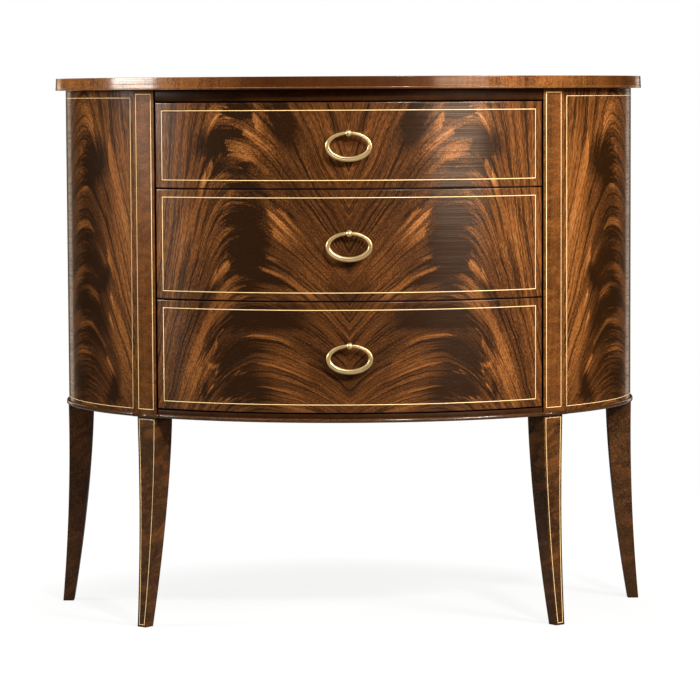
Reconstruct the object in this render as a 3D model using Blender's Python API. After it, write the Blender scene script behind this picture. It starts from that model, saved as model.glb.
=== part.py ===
"""Demilune cabinet: three bowed drawers between swept legs, under a half-oval top.

The plan is half an ellipse. Its flat side is the back, which stands against a wall, and the drawers
slide out of the middle of its curve. Each drawer has one oval ring pull that swings on a ball.
Metres, +Z up, +X to the viewer's right, the front faces -Y. The origin is on the floor, under the
middle of the top. Run it with: blender --background --python part.py
"""

import math

import bmesh
import bpy
from mathutils import Vector

# Overall sizes
HEIGHT = 0.914
BODY_HALF_WIDTH = 0.492
BODY_DEPTH = 0.4135
LEG_HEIGHT = 0.3512
TOP_THICKNESS = 0.0205
TOP_OVERHANG = 0.0175

# Clearances: pieces that touch, joints that move, and how far a cutter passes its face
FIT = 0.0003
DRAWER_GAP = 0.0026
DRAWER_END_GAP = 0.003
DRAWER_SIDE_PLAY = 0.001
DRAWER_STOP_GAP = 0.0005
DRAWER_BACK_PLAY = 0.008
DRAWER_HEADROOM = 0.003
OVERRUN = 0.004

# Boards of the carcass
PANEL_THICKNESS = 0.018
PARTITION_THICKNESS = 0.015
BOARD_THICKNESS = 0.014
BACK_THICKNESS = 0.012
TOP_RAIL_HEIGHT = 0.019
BOTTOM_RAIL_HEIGHT = 0.0136
TOP_RAIL_DEPTH = 0.033
TOP_EDGE_ROUND = 0.0012

# Stiles beside the drawers, at an angle of the ellipse measured from the middle of the front
STILE_T = math.radians(43.4)
STILE_WIDTH = 0.046
STILE_DEPTH = 0.030
STILE_PROUD = 0.002

# Square legs, which taper and sweep outwards
LEG_TOP_WIDTH = 0.0415
LEG_FOOT_WIDTH = 0.0188
LEG_SET_BACK = 0.001
LEG_TAPER_POWER = 1.2
LEG_SWEEP_POWER = 1.8
FRONT_LEG_SWEEP = 0.029
BACK_LEG_SWEEP = 0.026
TENON_WIDTH = 0.011
TENON_LENGTH = 0.032
TENON_SET_BACK = 0.0055
POST_WIDTH = 0.022

# Bead along the lower edge: its profile runs out from the surface and up from its underside
BEAD_HEIGHT = 0.0064
BEAD_PROJECTION = 0.004
BEAD_PROFILE_SHARES = ((0, 0), (1, 0), (1, 0.3), (0.85, 0.66), (0.5, 0.91), (0, 1))

# Drawers, from the lowest to the top one, which is lower than the others
TOP_DRAWER_HEIGHT = 0.139
FRONT_THICKNESS = 0.020
DRAWER_WALL = 0.011
DRAWER_BOTTOM_THICKNESS = 0.006
DRAWER_BOTTOM_RISE = 0.008
DRAWER_GROOVE_DEPTH = 0.005
DRAWER_BACK_DROP = 0.006

# Inlaid lines, and how far each frame of them lies inside the edges of its face
LINE_WIDTH = 0.0015
LINE_DEPTH = 0.0012
DRAWER_LINE_MARGIN = 0.0122
PANEL_LINE_MARGIN = 0.0122
PANEL_LINE_SIDE_MARGIN = 0.0080
STILE_LINE_MARGIN = 0.0060
LEG_LINE_MARGIN = 0.0036
TOP_LINE_MARGIN = 0.0010

# Ring pulls: a ball on a stem through the drawer's front, and an oval ring that swings on two pins in it
PULL_RISE = 0.0198
PULL_STANDOFF = 0.0115
BALL_RADIUS = 0.0055
NECK_RADIUS = 0.0028
COLLAR_RADIUS = 0.0042
COLLAR_THICKNESS = 0.0012
STEM_RADIUS = 0.002
STEM_END = 0.002
NUT_RADIUS = 0.005
NUT_THICKNESS = 0.003
PIN_RADIUS = 0.0017
PIN_END_GAP = 0.001
RING_HALF_WIDTH = 0.0345
RING_HALF_HEIGHT = 0.0212
RING_RADIUS_AT_BALL = 0.0026
RING_RADIUS_AT_SIDE = 0.0037
RING_RADIUS_AT_FOOT = 0.0043
RING_DEPTH_SHARE = 0.85
RING_SIDE_DROP_SHARE = 0.5

# Faces around each kind of curve
TOP_STEPS = 48
FRONT_STEPS = 30
BEAD_STEPS = 30
SIDE_STEPS = 16
LEG_STEPS = 8
RING_STEPS = 24
RING_SIDES = 8
BALL_SIDES = 12
BALL_STEPS = 6
PIN_HOLE_SIDES = 12

# Edges sharper than the first angle stay sharp when shaded, and those sharper than the second are rounded
SHADED_ANGLE = math.radians(30)
ROUNDED_ANGLE = math.radians(40)

# Heights and depths that follow from the sizes
TOTAL_DEPTH = BODY_DEPTH + TOP_OVERHANG
BACK_Y = TOTAL_DEPTH / 2
BACK_INSIDE_Y = BACK_Y - BACK_THICKNESS
TOP_UNDERSIDE = HEIGHT - TOP_THICKNESS
TOP_RAIL_UNDERSIDE = TOP_UNDERSIDE - TOP_RAIL_HEIGHT
BOTTOM_RAIL_TOP = LEG_HEIGHT + BOTTOM_RAIL_HEIGHT
DRAWER_NAMES = ("lower", "middle", "upper")
FRONTS_HEIGHT = TOP_RAIL_UNDERSIDE - BOTTOM_RAIL_TOP - (len(DRAWER_NAMES) + 1) * DRAWER_GAP
LARGE_DRAWER_HEIGHT = (FRONTS_HEIGHT - TOP_DRAWER_HEIGHT) / (len(DRAWER_NAMES) - 1)
DRAWER_HEIGHTS = (LARGE_DRAWER_HEIGHT, LARGE_DRAWER_HEIGHT, TOP_DRAWER_HEIGHT)
DRAWER_BACK_Y = BACK_INSIDE_Y - DRAWER_BACK_PLAY
SIDES = (("left", -1), ("right", 1))

# Colour, roughness and metallic value of each finish
FINISHES = {
    "flame_mahogany": ((0.22, 0.065, 0.018), 0.18, 0.0),
    "plain_mahogany": ((0.13, 0.045, 0.018), 0.2, 0.0),
    "boxwood": ((0.72, 0.5, 0.25), 0.25, 0.0),
    "drawer_lining": ((0.5, 0.34, 0.19), 0.5, 0.0),
    "inside_board": ((0.36, 0.23, 0.12), 0.6, 0.0),
    "brass": ((0.75, 0.6, 0.36), 0.3, 1.0),
    "steel": ((0.5, 0.5, 0.5), 0.35, 1.0),
}


# Plan of the body


def normal_at(t):
    """Unit normal of the body's ellipse at the angle t from the middle of the front."""
    return Vector((math.sin(t) / BODY_HALF_WIDTH, -math.cos(t) / BODY_DEPTH)).normalized()


def plan(t, out=0.0):
    """Point of the body's ellipse at the angle t, moved out along the normal."""
    on_curve = Vector((BODY_HALF_WIDTH * math.sin(t), BACK_Y - BODY_DEPTH * math.cos(t)))
    return on_curve + out * normal_at(t)


def solve(measure, target):
    """The angle t from the front's middle to the back where the growing measure reaches the target."""
    low = 0.0
    high = math.pi / 2
    for _ in range(50):
        middle = (low + high) / 2
        if measure(middle) < target:
            low = middle
        else:
            high = middle
    return (low + high) / 2


def t_at_x(x, out=0.0):
    return solve(lambda t: plan(t, out).x, x)


def t_at_y(y, out=0.0):
    return solve(lambda t: plan(t, out).y, y)


def arc(start, end, out, steps):
    """Points of the plan from one angle to another."""
    return [plan(start + (end - start) * step / steps, out) for step in range(steps + 1)]


def angle_along(t, length):
    """How far the angle runs for a length along the ellipse at t."""
    speed = math.hypot(BODY_HALF_WIDTH * math.cos(t), BODY_DEPTH * math.sin(t))
    return length / speed


# Stiles and what is measured from them

STILE_NORMAL = normal_at(STILE_T)
STILE_ACROSS = Vector((-STILE_NORMAL.y, STILE_NORMAL.x))


def stile_point(across, out):
    """Point in the right stile's axes: across its face towards the back, and out of the body."""
    return plan(STILE_T) + across * STILE_ACROSS + out * STILE_NORMAL


def across_of(point):
    return (point - plan(STILE_T)).dot(STILE_ACROSS)


def out_of(point):
    return (point - plan(STILE_T)).dot(STILE_NORMAL)


def t_at_across(across, out=0.0):
    return solve(lambda t: across_of(plan(t, out)), across)


STILE_DRAWER_SIDE_X = stile_point(-STILE_WIDTH / 2, STILE_PROUD).x
STILE_REAR_Y = stile_point(STILE_WIDTH / 2, -STILE_DEPTH).y
DRAWER_HALF_WIDTH = STILE_DRAWER_SIDE_X - DRAWER_END_GAP
DRAWER_SIDE_OUTER_X = DRAWER_HALF_WIDTH - DRAWER_SIDE_PLAY
DRAWER_SIDE_INNER_X = DRAWER_SIDE_OUTER_X - DRAWER_WALL


def stile_outline():
    """Right stile in plan, anticlockwise. Its drawer side runs straight back, so the drawer can pass."""
    front = stile_point(-STILE_WIDTH / 2, STILE_PROUD)
    outer = stile_point(STILE_WIDTH / 2, STILE_PROUD)
    rear = stile_point(STILE_WIDTH / 2, -STILE_DEPTH)
    return [front, outer, rear, Vector((front.x, rear.y))]


def post_outline():
    """Right post in plan, anticlockwise: it fills the corner of the back and the side panel."""
    front_y = BACK_Y - LEG_TOP_WIDTH
    reach = -PANEL_THICKNESS - FIT
    outer_x = plan(t_at_y(front_y, reach), reach).x
    inner_x = outer_x - POST_WIDTH
    rear_y = BACK_INSIDE_Y - FIT
    return [
        Vector((inner_x, front_y)),
        Vector((outer_x, front_y)),
        Vector((outer_x, rear_y)),
        Vector((inner_x, rear_y)),
    ]


def post_notch_outline():
    """What the bottom board leaves free for the right post, out to the body's side."""
    inner_corner = post_outline()[0]
    return box_outline(inner_corner.x - FIT, BODY_HALF_WIDTH, inner_corner.y - FIT, BACK_Y)


def grown(outline, gap):
    """A convex anticlockwise outline with each side moved out by the gap."""
    moved = []
    for index, corner in enumerate(outline):
        along_in = (corner - outline[index - 1]).normalized()
        along_out = (outline[(index + 1) % len(outline)] - corner).normalized()
        first = Vector((along_in.y, -along_in.x))
        second = Vector((along_out.y, -along_out.x))
        moved.append(corner + (first + second) * gap / (1 + first.dot(second)))
    return moved


def to_side(points, side):
    """The points of a right-hand outline, mirrored where the side is the left."""
    return [Vector((side * point.x, point.y)) for point in points]


# Solids


def finish(name):
    """The material of this finish, made once."""
    material = bpy.data.materials.get(name)
    if material:
        return material
    colour, roughness, metallic = FINISHES[name]
    material = bpy.data.materials.new(name)
    material.use_nodes = True
    shader = material.node_tree.nodes["Principled BSDF"]
    shader.inputs["Base Color"].default_value = (*colour, 1)
    shader.inputs["Roughness"].default_value = roughness
    shader.inputs["Metallic"].default_value = metallic
    material.diffuse_color = (*colour, 1)
    return material


def add_object(name, bm, material, parent=None):
    """A new object from the closed mesh, with its faces out, in its parent's space."""
    bmesh.ops.recalc_face_normals(bm, faces=bm.faces)
    mesh = bpy.data.meshes.new(name)
    bm.to_mesh(mesh)
    bm.free()
    mesh.shade_smooth()
    mesh.set_sharp_from_angle(angle=SHADED_ANGLE)
    obj = bpy.data.objects.new(name, mesh)
    bpy.context.scene.collection.objects.link(obj)
    if material:
        mesh.materials.append(finish(material))
    obj.parent = parent
    return obj


def skin(sections, closed=False):
    """Mesh through sections of equal counts of points, capped at its ends or closed on itself."""
    bm = bmesh.new()
    rows = [[bm.verts.new(point) for point in section] for section in sections]
    count = len(rows[0])
    following = rows[1:] + rows[:1] if closed else rows[1:]
    for row, after in zip(rows, following):
        for index in range(count):
            beside = (index + 1) % count
            bm.faces.new((row[index], row[beside], after[beside], after[index]))
    if not closed:
        bm.faces.new(rows[0])
        bm.faces.new(rows[-1])
    return bm


def prism(outline, low, high):
    """Mesh of the outline extruded from one height to another."""
    bm = bmesh.new()
    base = bm.faces.new([bm.verts.new((point.x, point.y, low)) for point in outline])
    raised = bmesh.ops.extrude_face_region(bm, geom=[base])["geom"]
    corners = [part for part in raised if isinstance(part, bmesh.types.BMVert)]
    bmesh.ops.translate(bm, vec=(0, 0, high - low), verts=corners)
    return bm


def box_outline(low_x, high_x, low_y, high_y):
    corners = ((low_x, low_y), (high_x, low_y), (high_x, high_y), (low_x, high_y))
    return [Vector(corner) for corner in corners]


def curved_board(outer_range, inner_range, outer, inner, low, high, steps):
    """Mesh of an upright board that follows the plan, with its own range of angles on each face."""
    sections = []
    outer_points = arc(*outer_range, outer, steps)
    inner_points = arc(*inner_range, inner, steps)
    for near, far in zip(outer_points, inner_points):
        sections.append([(*near, low), (*near, high), (*far, high), (*far, low)])
    return skin(sections)


def turned(profile, sides):
    """Mesh turned about Y from pairs of a radius and a place along Y."""
    sections = []
    for radius, y in profile:
        angles = [2 * math.pi * step / sides for step in range(sides)]
        sections.append([(radius * math.sin(angle), y, radius * math.cos(angle)) for angle in angles])
    return skin(sections)


def cut(obj, bm, name):
    """Cuts the closed mesh out of the object with an exact Boolean."""
    cutter = add_object(f"{obj.name}.{name}", bm, None, obj.parent)
    cutter.hide_render = True
    cutter.display_type = "WIRE"
    modifier = obj.modifiers.new(name, "BOOLEAN")
    modifier.operation = "DIFFERENCE"
    modifier.solver = "EXACT"
    modifier.object = cutter


def round_edges(obj, width):
    modifier = obj.modifiers.new("rounded edges", "BEVEL")
    modifier.width = width
    modifier.segments = 1
    modifier.limit_method = "ANGLE"
    modifier.angle_limit = ROUNDED_ANGLE


# Inlaid frames of line


def frame_sections(point, margin, width, top, bottom, columns, rows):
    """Sections round a rectangular frame. The point function takes shares of the face's width and
    height, how far inside its edges the frame lies, and how far out of the face."""
    round_the_face = [(-1 + 2 * step / columns, 0) for step in range(columns)]
    round_the_face += [(1, step / rows) for step in range(rows)]
    round_the_face += [(1 - 2 * step / columns, 1) for step in range(columns)]
    round_the_face += [(-1, 1 - step / rows) for step in range(rows)]
    sections = []
    for across, up in round_the_face:
        sections.append(
            [
                point(across, up, margin, top),
                point(across, up, margin + width, top),
                point(across, up, margin + width, bottom),
                point(across, up, margin, bottom),
            ]
        )
    return sections


def inlay_frame(name, face, point, margin, columns, rows):
    """A frame of line let into the face's groove."""
    groove = frame_sections(
        point, margin - FIT, LINE_WIDTH + 2 * FIT, OVERRUN, -LINE_DEPTH, columns, rows
    )
    cut(face, skin(groove, closed=True), "line groove")
    line = frame_sections(point, margin, LINE_WIDTH, 0, FIT - LINE_DEPTH, columns, rows)
    return add_object(name, skin(line, closed=True), "boxwood", face.parent)


# Carcass


def add_top():
    """Half-oval top, with a line let in along its lower edge."""
    quarter = math.pi / 2
    outline = arc(-quarter, quarter, TOP_OVERHANG, TOP_STEPS)
    top = add_object("top", prism(outline, TOP_UNDERSIDE, HEIGHT), "plain_mahogany")
    round_edges(top, TOP_EDGE_ROUND)
    low = TOP_UNDERSIDE + TOP_EDGE_ROUND + TOP_LINE_MARGIN
    high = low + LINE_WIDTH
    reach = quarter - angle_along(quarter, TOP_OVERHANG)

    def strip(gap, outer, end):
        inner = TOP_OVERHANG - LINE_DEPTH - gap + FIT
        return curved_board((-end, end), (-end, end), outer, inner, low - gap, high + gap, TOP_STEPS - 1)

    cut(top, strip(FIT, TOP_OVERHANG + OVERRUN, reach + angle_along(quarter, FIT)), "line groove")
    add_object("top_line", strip(0, TOP_OVERHANG, reach), "boxwood")


def add_rail(name, depth, low, high):
    """Curved rail between the stiles, flush with the drawers' fronts."""
    half = STILE_DRAWER_SIDE_X - FIT
    outer_end = t_at_x(half)
    inner_end = t_at_x(half, -depth)
    board = curved_board(
        (-outer_end, outer_end), (-inner_end, inner_end), 0, -depth, low, high, FRONT_STEPS
    )
    add_object(name, board, "plain_mahogany")


def gap_heights():
    """Middle heights of the gaps under the drawers, from the lowest up, and above the top one."""
    heights = [BOTTOM_RAIL_TOP + DRAWER_GAP / 2]
    for height in DRAWER_HEIGHTS:
        heights.append(heights[-1] + height + DRAWER_GAP)
    return heights


def add_dividers():
    """Boards between the drawers, which carry them and stop their fronts."""
    reach = -FRONT_THICKNESS - DRAWER_STOP_GAP
    end = t_at_x(DRAWER_HALF_WIDTH - FIT, reach)
    rear_y = BACK_INSIDE_Y - FIT
    outline = arc(-end, end, reach, FRONT_STEPS)
    outline += [Vector((outline[-1].x, rear_y)), Vector((outline[0].x, rear_y))]
    for name, middle in zip(("lower_divider", "upper_divider"), gap_heights()[1:3]):
        low = middle - BOARD_THICKNESS / 2
        add_object(name, prism(outline, low, low + BOARD_THICKNESS), "inside_board")


def add_bottom_board():
    """Bottom of the carcass, notched round the stiles and the posts."""
    reach = -FRONT_THICKNESS - DRAWER_STOP_GAP
    end = t_at_y(BACK_INSIDE_Y - FIT, reach)
    low = gap_heights()[0] - BOARD_THICKNESS / 2
    high = low + BOARD_THICKNESS
    board = add_object("bottom_board", prism(arc(-end, end, reach, TOP_STEPS), low, high), "inside_board")
    for name, side in SIDES:
        stile = to_side(grown(stile_outline(), FIT), side)
        cut(board, prism(stile, low - OVERRUN, high + OVERRUN), f"{name} stile notch")
        notch = to_side(post_notch_outline(), side)
        cut(board, prism(notch, low - OVERRUN, high + OVERRUN), f"{name} post notch")


def add_back_panel():
    reach = -PANEL_THICKNESS - FIT
    half = plan(t_at_y(BACK_INSIDE_Y, reach), reach).x
    outline = box_outline(-half, half, BACK_INSIDE_Y, BACK_Y)
    add_object("back_panel", prism(outline, LEG_HEIGHT, TOP_UNDERSIDE - FIT), "inside_board")


def add_partition(name, side):
    """Upright board behind the stile, which guides the drawers."""
    near_x = DRAWER_HALF_WIDTH
    low = gap_heights()[0] + BOARD_THICKNESS / 2 + FIT
    outline = box_outline(
        near_x, near_x + PARTITION_THICKNESS, STILE_REAR_Y + FIT, BACK_INSIDE_Y - FIT
    )
    add_object(f"{name}_partition", prism(to_side(outline, side), low, TOP_UNDERSIDE - FIT), "inside_board")


def add_side_panel(name, side):
    """Curved side from the stile to the wall, with a frame of line."""
    quarter = math.pi / 2
    edge = STILE_WIDTH / 2 + FIT
    start = t_at_across(edge)
    low = LEG_HEIGHT
    high = TOP_UNDERSIDE - FIT
    outer_range = (side * start, side * quarter)
    inner_range = (side * t_at_across(edge, -PANEL_THICKNESS), side * quarter)
    board = curved_board(outer_range, inner_range, 0, -PANEL_THICKNESS, low, high, SIDE_STEPS)
    panel = add_object(f"{name}_side_panel", board, "flame_mahogany")

    def point(across, up, inside, out):
        height = low + inside + (high - low - 2 * inside) * up
        beside = inside - PANEL_LINE_MARGIN + PANEL_LINE_SIDE_MARGIN
        first = start + angle_along(start, beside)
        last = quarter - angle_along(quarter, inside)
        return (*plan(side * (first + (last - first) * (across + 1) / 2), out), height)

    inlay_frame(f"{name}_side_line", panel, point, PANEL_LINE_MARGIN, SIDE_STEPS - 1, 1)


def add_stile(name, side):
    """Post beside the drawers, with a mortise for its leg and a frame of line on its face."""
    low = LEG_HEIGHT
    high = TOP_UNDERSIDE - FIT
    stile = add_object(f"{name}_stile", prism(to_side(stile_outline(), side), low, high), "plain_mahogany")
    cut(stile, mortise(front_tenon_outline(), side), "mortise")
    line_low = low + BEAD_HEIGHT

    def point(across, up, inside, out):
        height = line_low + inside + (high - line_low - 2 * inside) * up
        spot = stile_point(across * (STILE_WIDTH / 2 - inside), STILE_PROUD + out)
        return (side * spot.x, spot.y, height)

    inlay_frame(f"{name}_stile_line", stile, point, STILE_LINE_MARGIN, 1, 1)


def add_post(name, side):
    """Post in the rear corner, with a mortise for its leg."""
    post = prism(to_side(post_outline(), side), LEG_HEIGHT, TOP_UNDERSIDE - FIT)
    post = add_object(f"{name}_back_post", post, "inside_board")
    cut(post, mortise(back_tenon_outline(), side), "mortise")


# Bead along the lower edge


def bead_points(place):
    """One section of the bead, from a function that gives the point at a distance out of the wood."""
    points = []
    for out_share, up_share in BEAD_PROFILE_SHARES:
        out = FIT + (BEAD_PROJECTION - FIT) * out_share
        points.append((*place(out), LEG_HEIGHT + BEAD_HEIGHT * up_share))
    return points


def add_front_bead():
    """Bead on the bottom rail, mitred at both ends against the stiles' beads."""

    def section(share):
        def place(out):
            return plan(share * t_at_across(-STILE_WIDTH / 2 - out - FIT, out), out)

        return bead_points(place)

    sections = [section(-1 + 2 * step / BEAD_STEPS) for step in range(BEAD_STEPS + 1)]
    add_object("front_bead", skin(sections), "plain_mahogany")


def add_side_bead(name, side):
    """Bead on the side panel, mitred against the stile's bead."""

    def section(share):
        def place(out):
            start = t_at_across(STILE_WIDTH / 2 + out + FIT, out)
            return plan(side * (start + (math.pi / 2 - start) * share), out)

        return bead_points(place)

    sections = [section(step / SIDE_STEPS) for step in range(SIDE_STEPS + 1)]
    add_object(f"{name}_side_bead", skin(sections), "plain_mahogany")


def add_stile_bead(name, side):
    """Bead that steps out round the stile: along its face, with a short return at each side."""

    def section(across_sign, at_face):
        def place(out):
            across = across_sign * (STILE_WIDTH / 2 + out)
            level = STILE_PROUD + out
            if not at_face:
                level = out_of(plan(t_at_across(across, out), out))
            spot = stile_point(across, level)
            return (side * spot.x, spot.y)

        return bead_points(place)

    sections = [section(-1, False), section(-1, True), section(1, True), section(1, False)]
    add_object(f"{name}_stile_bead", skin(sections), "plain_mahogany")


# Legs


def square_outline(centre, outward, width):
    """Square in plan with one side facing outward."""
    across = Vector((-outward.y, outward.x)) * width / 2
    out = outward * width / 2
    return [centre - across + out, centre + across + out, centre + across - out, centre - across - out]


def front_leg_centre():
    return stile_point(0, STILE_PROUD - LEG_SET_BACK - LEG_TOP_WIDTH / 2)


def front_tenon_outline():
    centre = stile_point(0, STILE_PROUD - TENON_SET_BACK - TENON_WIDTH / 2)
    return square_outline(centre, STILE_NORMAL, TENON_WIDTH)


def back_leg_centre():
    half = LEG_TOP_WIDTH / 2
    return Vector((BODY_HALF_WIDTH - LEG_SET_BACK - half, BACK_Y - half))


def back_tenon_outline():
    corners = post_outline()
    return square_outline((corners[0] + corners[2]) / 2, Vector((1, 0)), TENON_WIDTH)


def mortise(outline, side):
    """Cutter for the hole that a leg's tenon fits, grown by the fit."""
    low = LEG_HEIGHT - OVERRUN
    high = LEG_HEIGHT + TENON_LENGTH + FIT
    return prism(to_side(grown(outline, FIT), side), low, high)


def leg_width(height):
    drop = 1 - height / (LEG_HEIGHT - FIT)
    return LEG_TOP_WIDTH - (LEG_TOP_WIDTH - LEG_FOOT_WIDTH) * drop**LEG_TAPER_POWER


def leg_centre(top_centre, outward, sweep, height):
    """Middle of the leg at this height: it moves outward towards the floor."""
    drop = 1 - height / (LEG_HEIGHT - FIT)
    return top_centre + outward * sweep * drop**LEG_SWEEP_POWER


def add_leg(name, side, top_centre, outward, sweep, tenon):
    """Leg from the floor to the carcass, with a square tenon on its top."""
    top = LEG_HEIGHT - FIT
    sections = []
    for step in range(LEG_STEPS + 1):
        height = top * step / LEG_STEPS
        centre = leg_centre(top_centre, outward, sweep, height)
        outline = square_outline(centre, outward, leg_width(height))
        sections.append([(*point, height) for point in to_side(outline, side)])
    for height in (top, LEG_HEIGHT + TENON_LENGTH):
        sections.append([(*point, height) for point in to_side(tenon, side)])
    return add_object(name, skin(sections), "plain_mahogany")


def add_front_leg(name, side):
    """Front leg, turned like its stile, with a frame of line on its outer face."""
    leg = add_leg(
        f"{name}_front_leg", side, front_leg_centre(), STILE_NORMAL, FRONT_LEG_SWEEP, front_tenon_outline()
    )

    def point(across, up, inside, out):
        height = inside + (LEG_HEIGHT - FIT - 2 * inside) * up
        half = leg_width(height) / 2
        centre = leg_centre(front_leg_centre(), STILE_NORMAL, FRONT_LEG_SWEEP, height)
        spot = centre + across * (half - inside) * STILE_ACROSS + (half + out) * STILE_NORMAL
        return (side * spot.x, spot.y, height)

    inlay_frame(f"{name}_leg_line", leg, point, LEG_LINE_MARGIN, 1, LEG_STEPS + 1)


def add_back_leg(name, side):
    add_leg(
        f"{name}_back_leg", side, back_leg_centre(), Vector((1, 0)), BACK_LEG_SWEEP, back_tenon_outline()
    )


# Drawers, each in the space of its own empty, at the middle height of its front


def add_drawer_front(name, parent, height):
    """Bowed front with a frame of line, a hole for the pull and a groove for the drawer's bottom."""
    outer_end = t_at_x(DRAWER_HALF_WIDTH)
    inner_end = t_at_x(DRAWER_HALF_WIDTH, -FRONT_THICKNESS)
    outer_range = (-outer_end, outer_end)
    inner_range = (-inner_end, inner_end)
    board = curved_board(
        outer_range, inner_range, 0, -FRONT_THICKNESS, -height / 2, height / 2, FRONT_STEPS
    )
    front = add_object(f"{name}_front", board, "flame_mahogany", parent)

    def point(across, up, inside, out):
        reach = outer_end - angle_along(outer_end, inside)
        return (*plan(across * reach, out), (up - 0.5) * (height - 2 * inside))

    inlay_frame(f"{name}_line", front, point, DRAWER_LINE_MARGIN, FRONT_STEPS - 1, 1)
    radius = STEM_RADIUS + FIT
    start = plan(0, OVERRUN).y
    end = plan(0, -FRONT_THICKNESS - OVERRUN).y
    stem_hole = turned([(radius, start), (radius, end)], BALL_SIDES)
    bmesh.ops.translate(stem_hole, vec=(0, 0, PULL_RISE), verts=stem_hole.verts)
    cut(front, stem_hole, "stem hole")
    return front


def drawer_bottom(low, high, gap):
    """Mesh of the drawer's bottom, or of its groove where the gap isn't zero."""
    reach = DRAWER_GROOVE_DEPTH - FRONT_THICKNESS - FIT + gap
    end = t_at_x(DRAWER_SIDE_INNER_X + DRAWER_GROOVE_DEPTH - FIT + gap, reach)
    outline = arc(-end, end, reach, FRONT_STEPS - 1)
    rear_y = DRAWER_BACK_Y + (OVERRUN if gap else 0)
    outline += [Vector((outline[-1].x, rear_y)), Vector((outline[0].x, rear_y))]
    return prism(outline, low - gap, high + gap)


def drawer_side_outline():
    """Right side in plan: its front end follows the inside of the bowed front."""
    reach = -FRONT_THICKNESS - FIT
    start = t_at_x(DRAWER_SIDE_INNER_X, reach)
    end = t_at_x(DRAWER_SIDE_OUTER_X, reach)
    corners = arc(start, end, reach, 2)
    corners.append(Vector((DRAWER_SIDE_OUTER_X, DRAWER_BACK_Y)))
    corners.append(Vector((DRAWER_SIDE_INNER_X, DRAWER_BACK_Y)))
    return corners


def add_drawer_box(name, parent, height, front):
    """Sides, back and bottom of the drawer. The bottom runs in grooves and passes under the back."""
    board_overlap = (BOARD_THICKNESS - DRAWER_GAP) / 2
    low = board_overlap + FIT - height / 2
    high = height / 2 - board_overlap - DRAWER_HEADROOM
    bottom_low = low + DRAWER_BOTTOM_RISE
    bottom_high = bottom_low + DRAWER_BOTTOM_THICKNESS
    cut(front, drawer_bottom(bottom_low, bottom_high, FIT), "bottom groove")
    for side_name, side in SIDES:
        outline = to_side(drawer_side_outline(), side)
        board = add_object(f"{name}_{side_name}_side", prism(outline, low, high), "drawer_lining", parent)
        cut(board, drawer_bottom(bottom_low, bottom_high, FIT), "bottom groove")
    bottom = drawer_bottom(bottom_low, bottom_high, 0)
    add_object(f"{name}_bottom", bottom, "drawer_lining", parent)
    half = DRAWER_SIDE_INNER_X - FIT
    outline = box_outline(-half, half, DRAWER_BACK_Y - DRAWER_WALL, DRAWER_BACK_Y)
    back = prism(outline, bottom_high + FIT, high - DRAWER_BACK_DROP)
    add_object(f"{name}_back", back, "drawer_lining", parent)


def add_pull_post(name, parent):
    """Ball on a stem that passes through the front, in the space of its own middle."""
    face = PULL_STANDOFF
    stem_end = face + FRONT_THICKNESS + 2 * FIT + NUT_THICKNESS + STEM_END
    profile = [(STEM_RADIUS, stem_end), (STEM_RADIUS, face - FIT), (COLLAR_RADIUS, face - FIT)]
    profile += [(COLLAR_RADIUS, face - FIT - COLLAR_THICKNESS), (NECK_RADIUS, face - FIT - COLLAR_THICKNESS)]
    joint = math.asin(NECK_RADIUS / BALL_RADIUS)
    for step in range(BALL_STEPS + 1):
        angle = joint + (math.pi - joint) * step / (BALL_STEPS + 0.5)
        profile.append((BALL_RADIUS * math.sin(angle), BALL_RADIUS * math.cos(angle)))
    post = add_object(f"{name}_pull_post", turned(profile, BALL_SIDES), "brass", parent)
    radius = PIN_RADIUS + FIT
    half = BALL_RADIUS + OVERRUN
    ends = [
        [
            (x, radius * math.cos(angle), radius * math.sin(angle))
            for angle in (2 * math.pi * step / PIN_HOLE_SIDES for step in range(PIN_HOLE_SIDES))
        ]
        for x in (-half, half)
    ]
    cut(post, skin(ends), "pin hole")


def add_pull_nut(name, parent):
    """Round nut on the stem, inside the drawer."""
    near = PULL_STANDOFF + FRONT_THICKNESS + FIT
    far = near + NUT_THICKNESS
    sections = []
    for step in range(BALL_SIDES):
        angle = 2 * math.pi * step / BALL_SIDES
        corners = ((STEM_RADIUS + FIT, near), (NUT_RADIUS, near), (NUT_RADIUS, far), (STEM_RADIUS + FIT, far))
        sections.append([(radius * math.sin(angle), y, radius * math.cos(angle)) for radius, y in corners])
    add_object(f"{name}_pull_nut", skin(sections, closed=True), "steel", parent)


def ring_radius(drop):
    """Half the ring's thickness, from the ball at 0 to its lowest point at 1."""
    if drop < RING_SIDE_DROP_SHARE:
        share = drop / RING_SIDE_DROP_SHARE
        return RING_RADIUS_AT_BALL + (RING_RADIUS_AT_SIDE - RING_RADIUS_AT_BALL) * share
    share = (drop - RING_SIDE_DROP_SHARE) / (1 - RING_SIDE_DROP_SHARE)
    return RING_RADIUS_AT_SIDE + (RING_RADIUS_AT_FOOT - RING_RADIUS_AT_SIDE) * share


def ring_section(x, z, tangent, radius):
    """Section of the ring across its own line, in the plane of Y and the ring's normal."""
    normal = Vector((tangent.y, -tangent.x))
    points = []
    for side in range(RING_SIDES):
        angle = 2 * math.pi * (side + 0.5) / RING_SIDES
        out = radius * math.cos(angle)
        depth = radius * RING_DEPTH_SHARE * math.sin(angle)
        points.append((x + out * normal.x, depth, z + out * normal.y))
    return points


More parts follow.
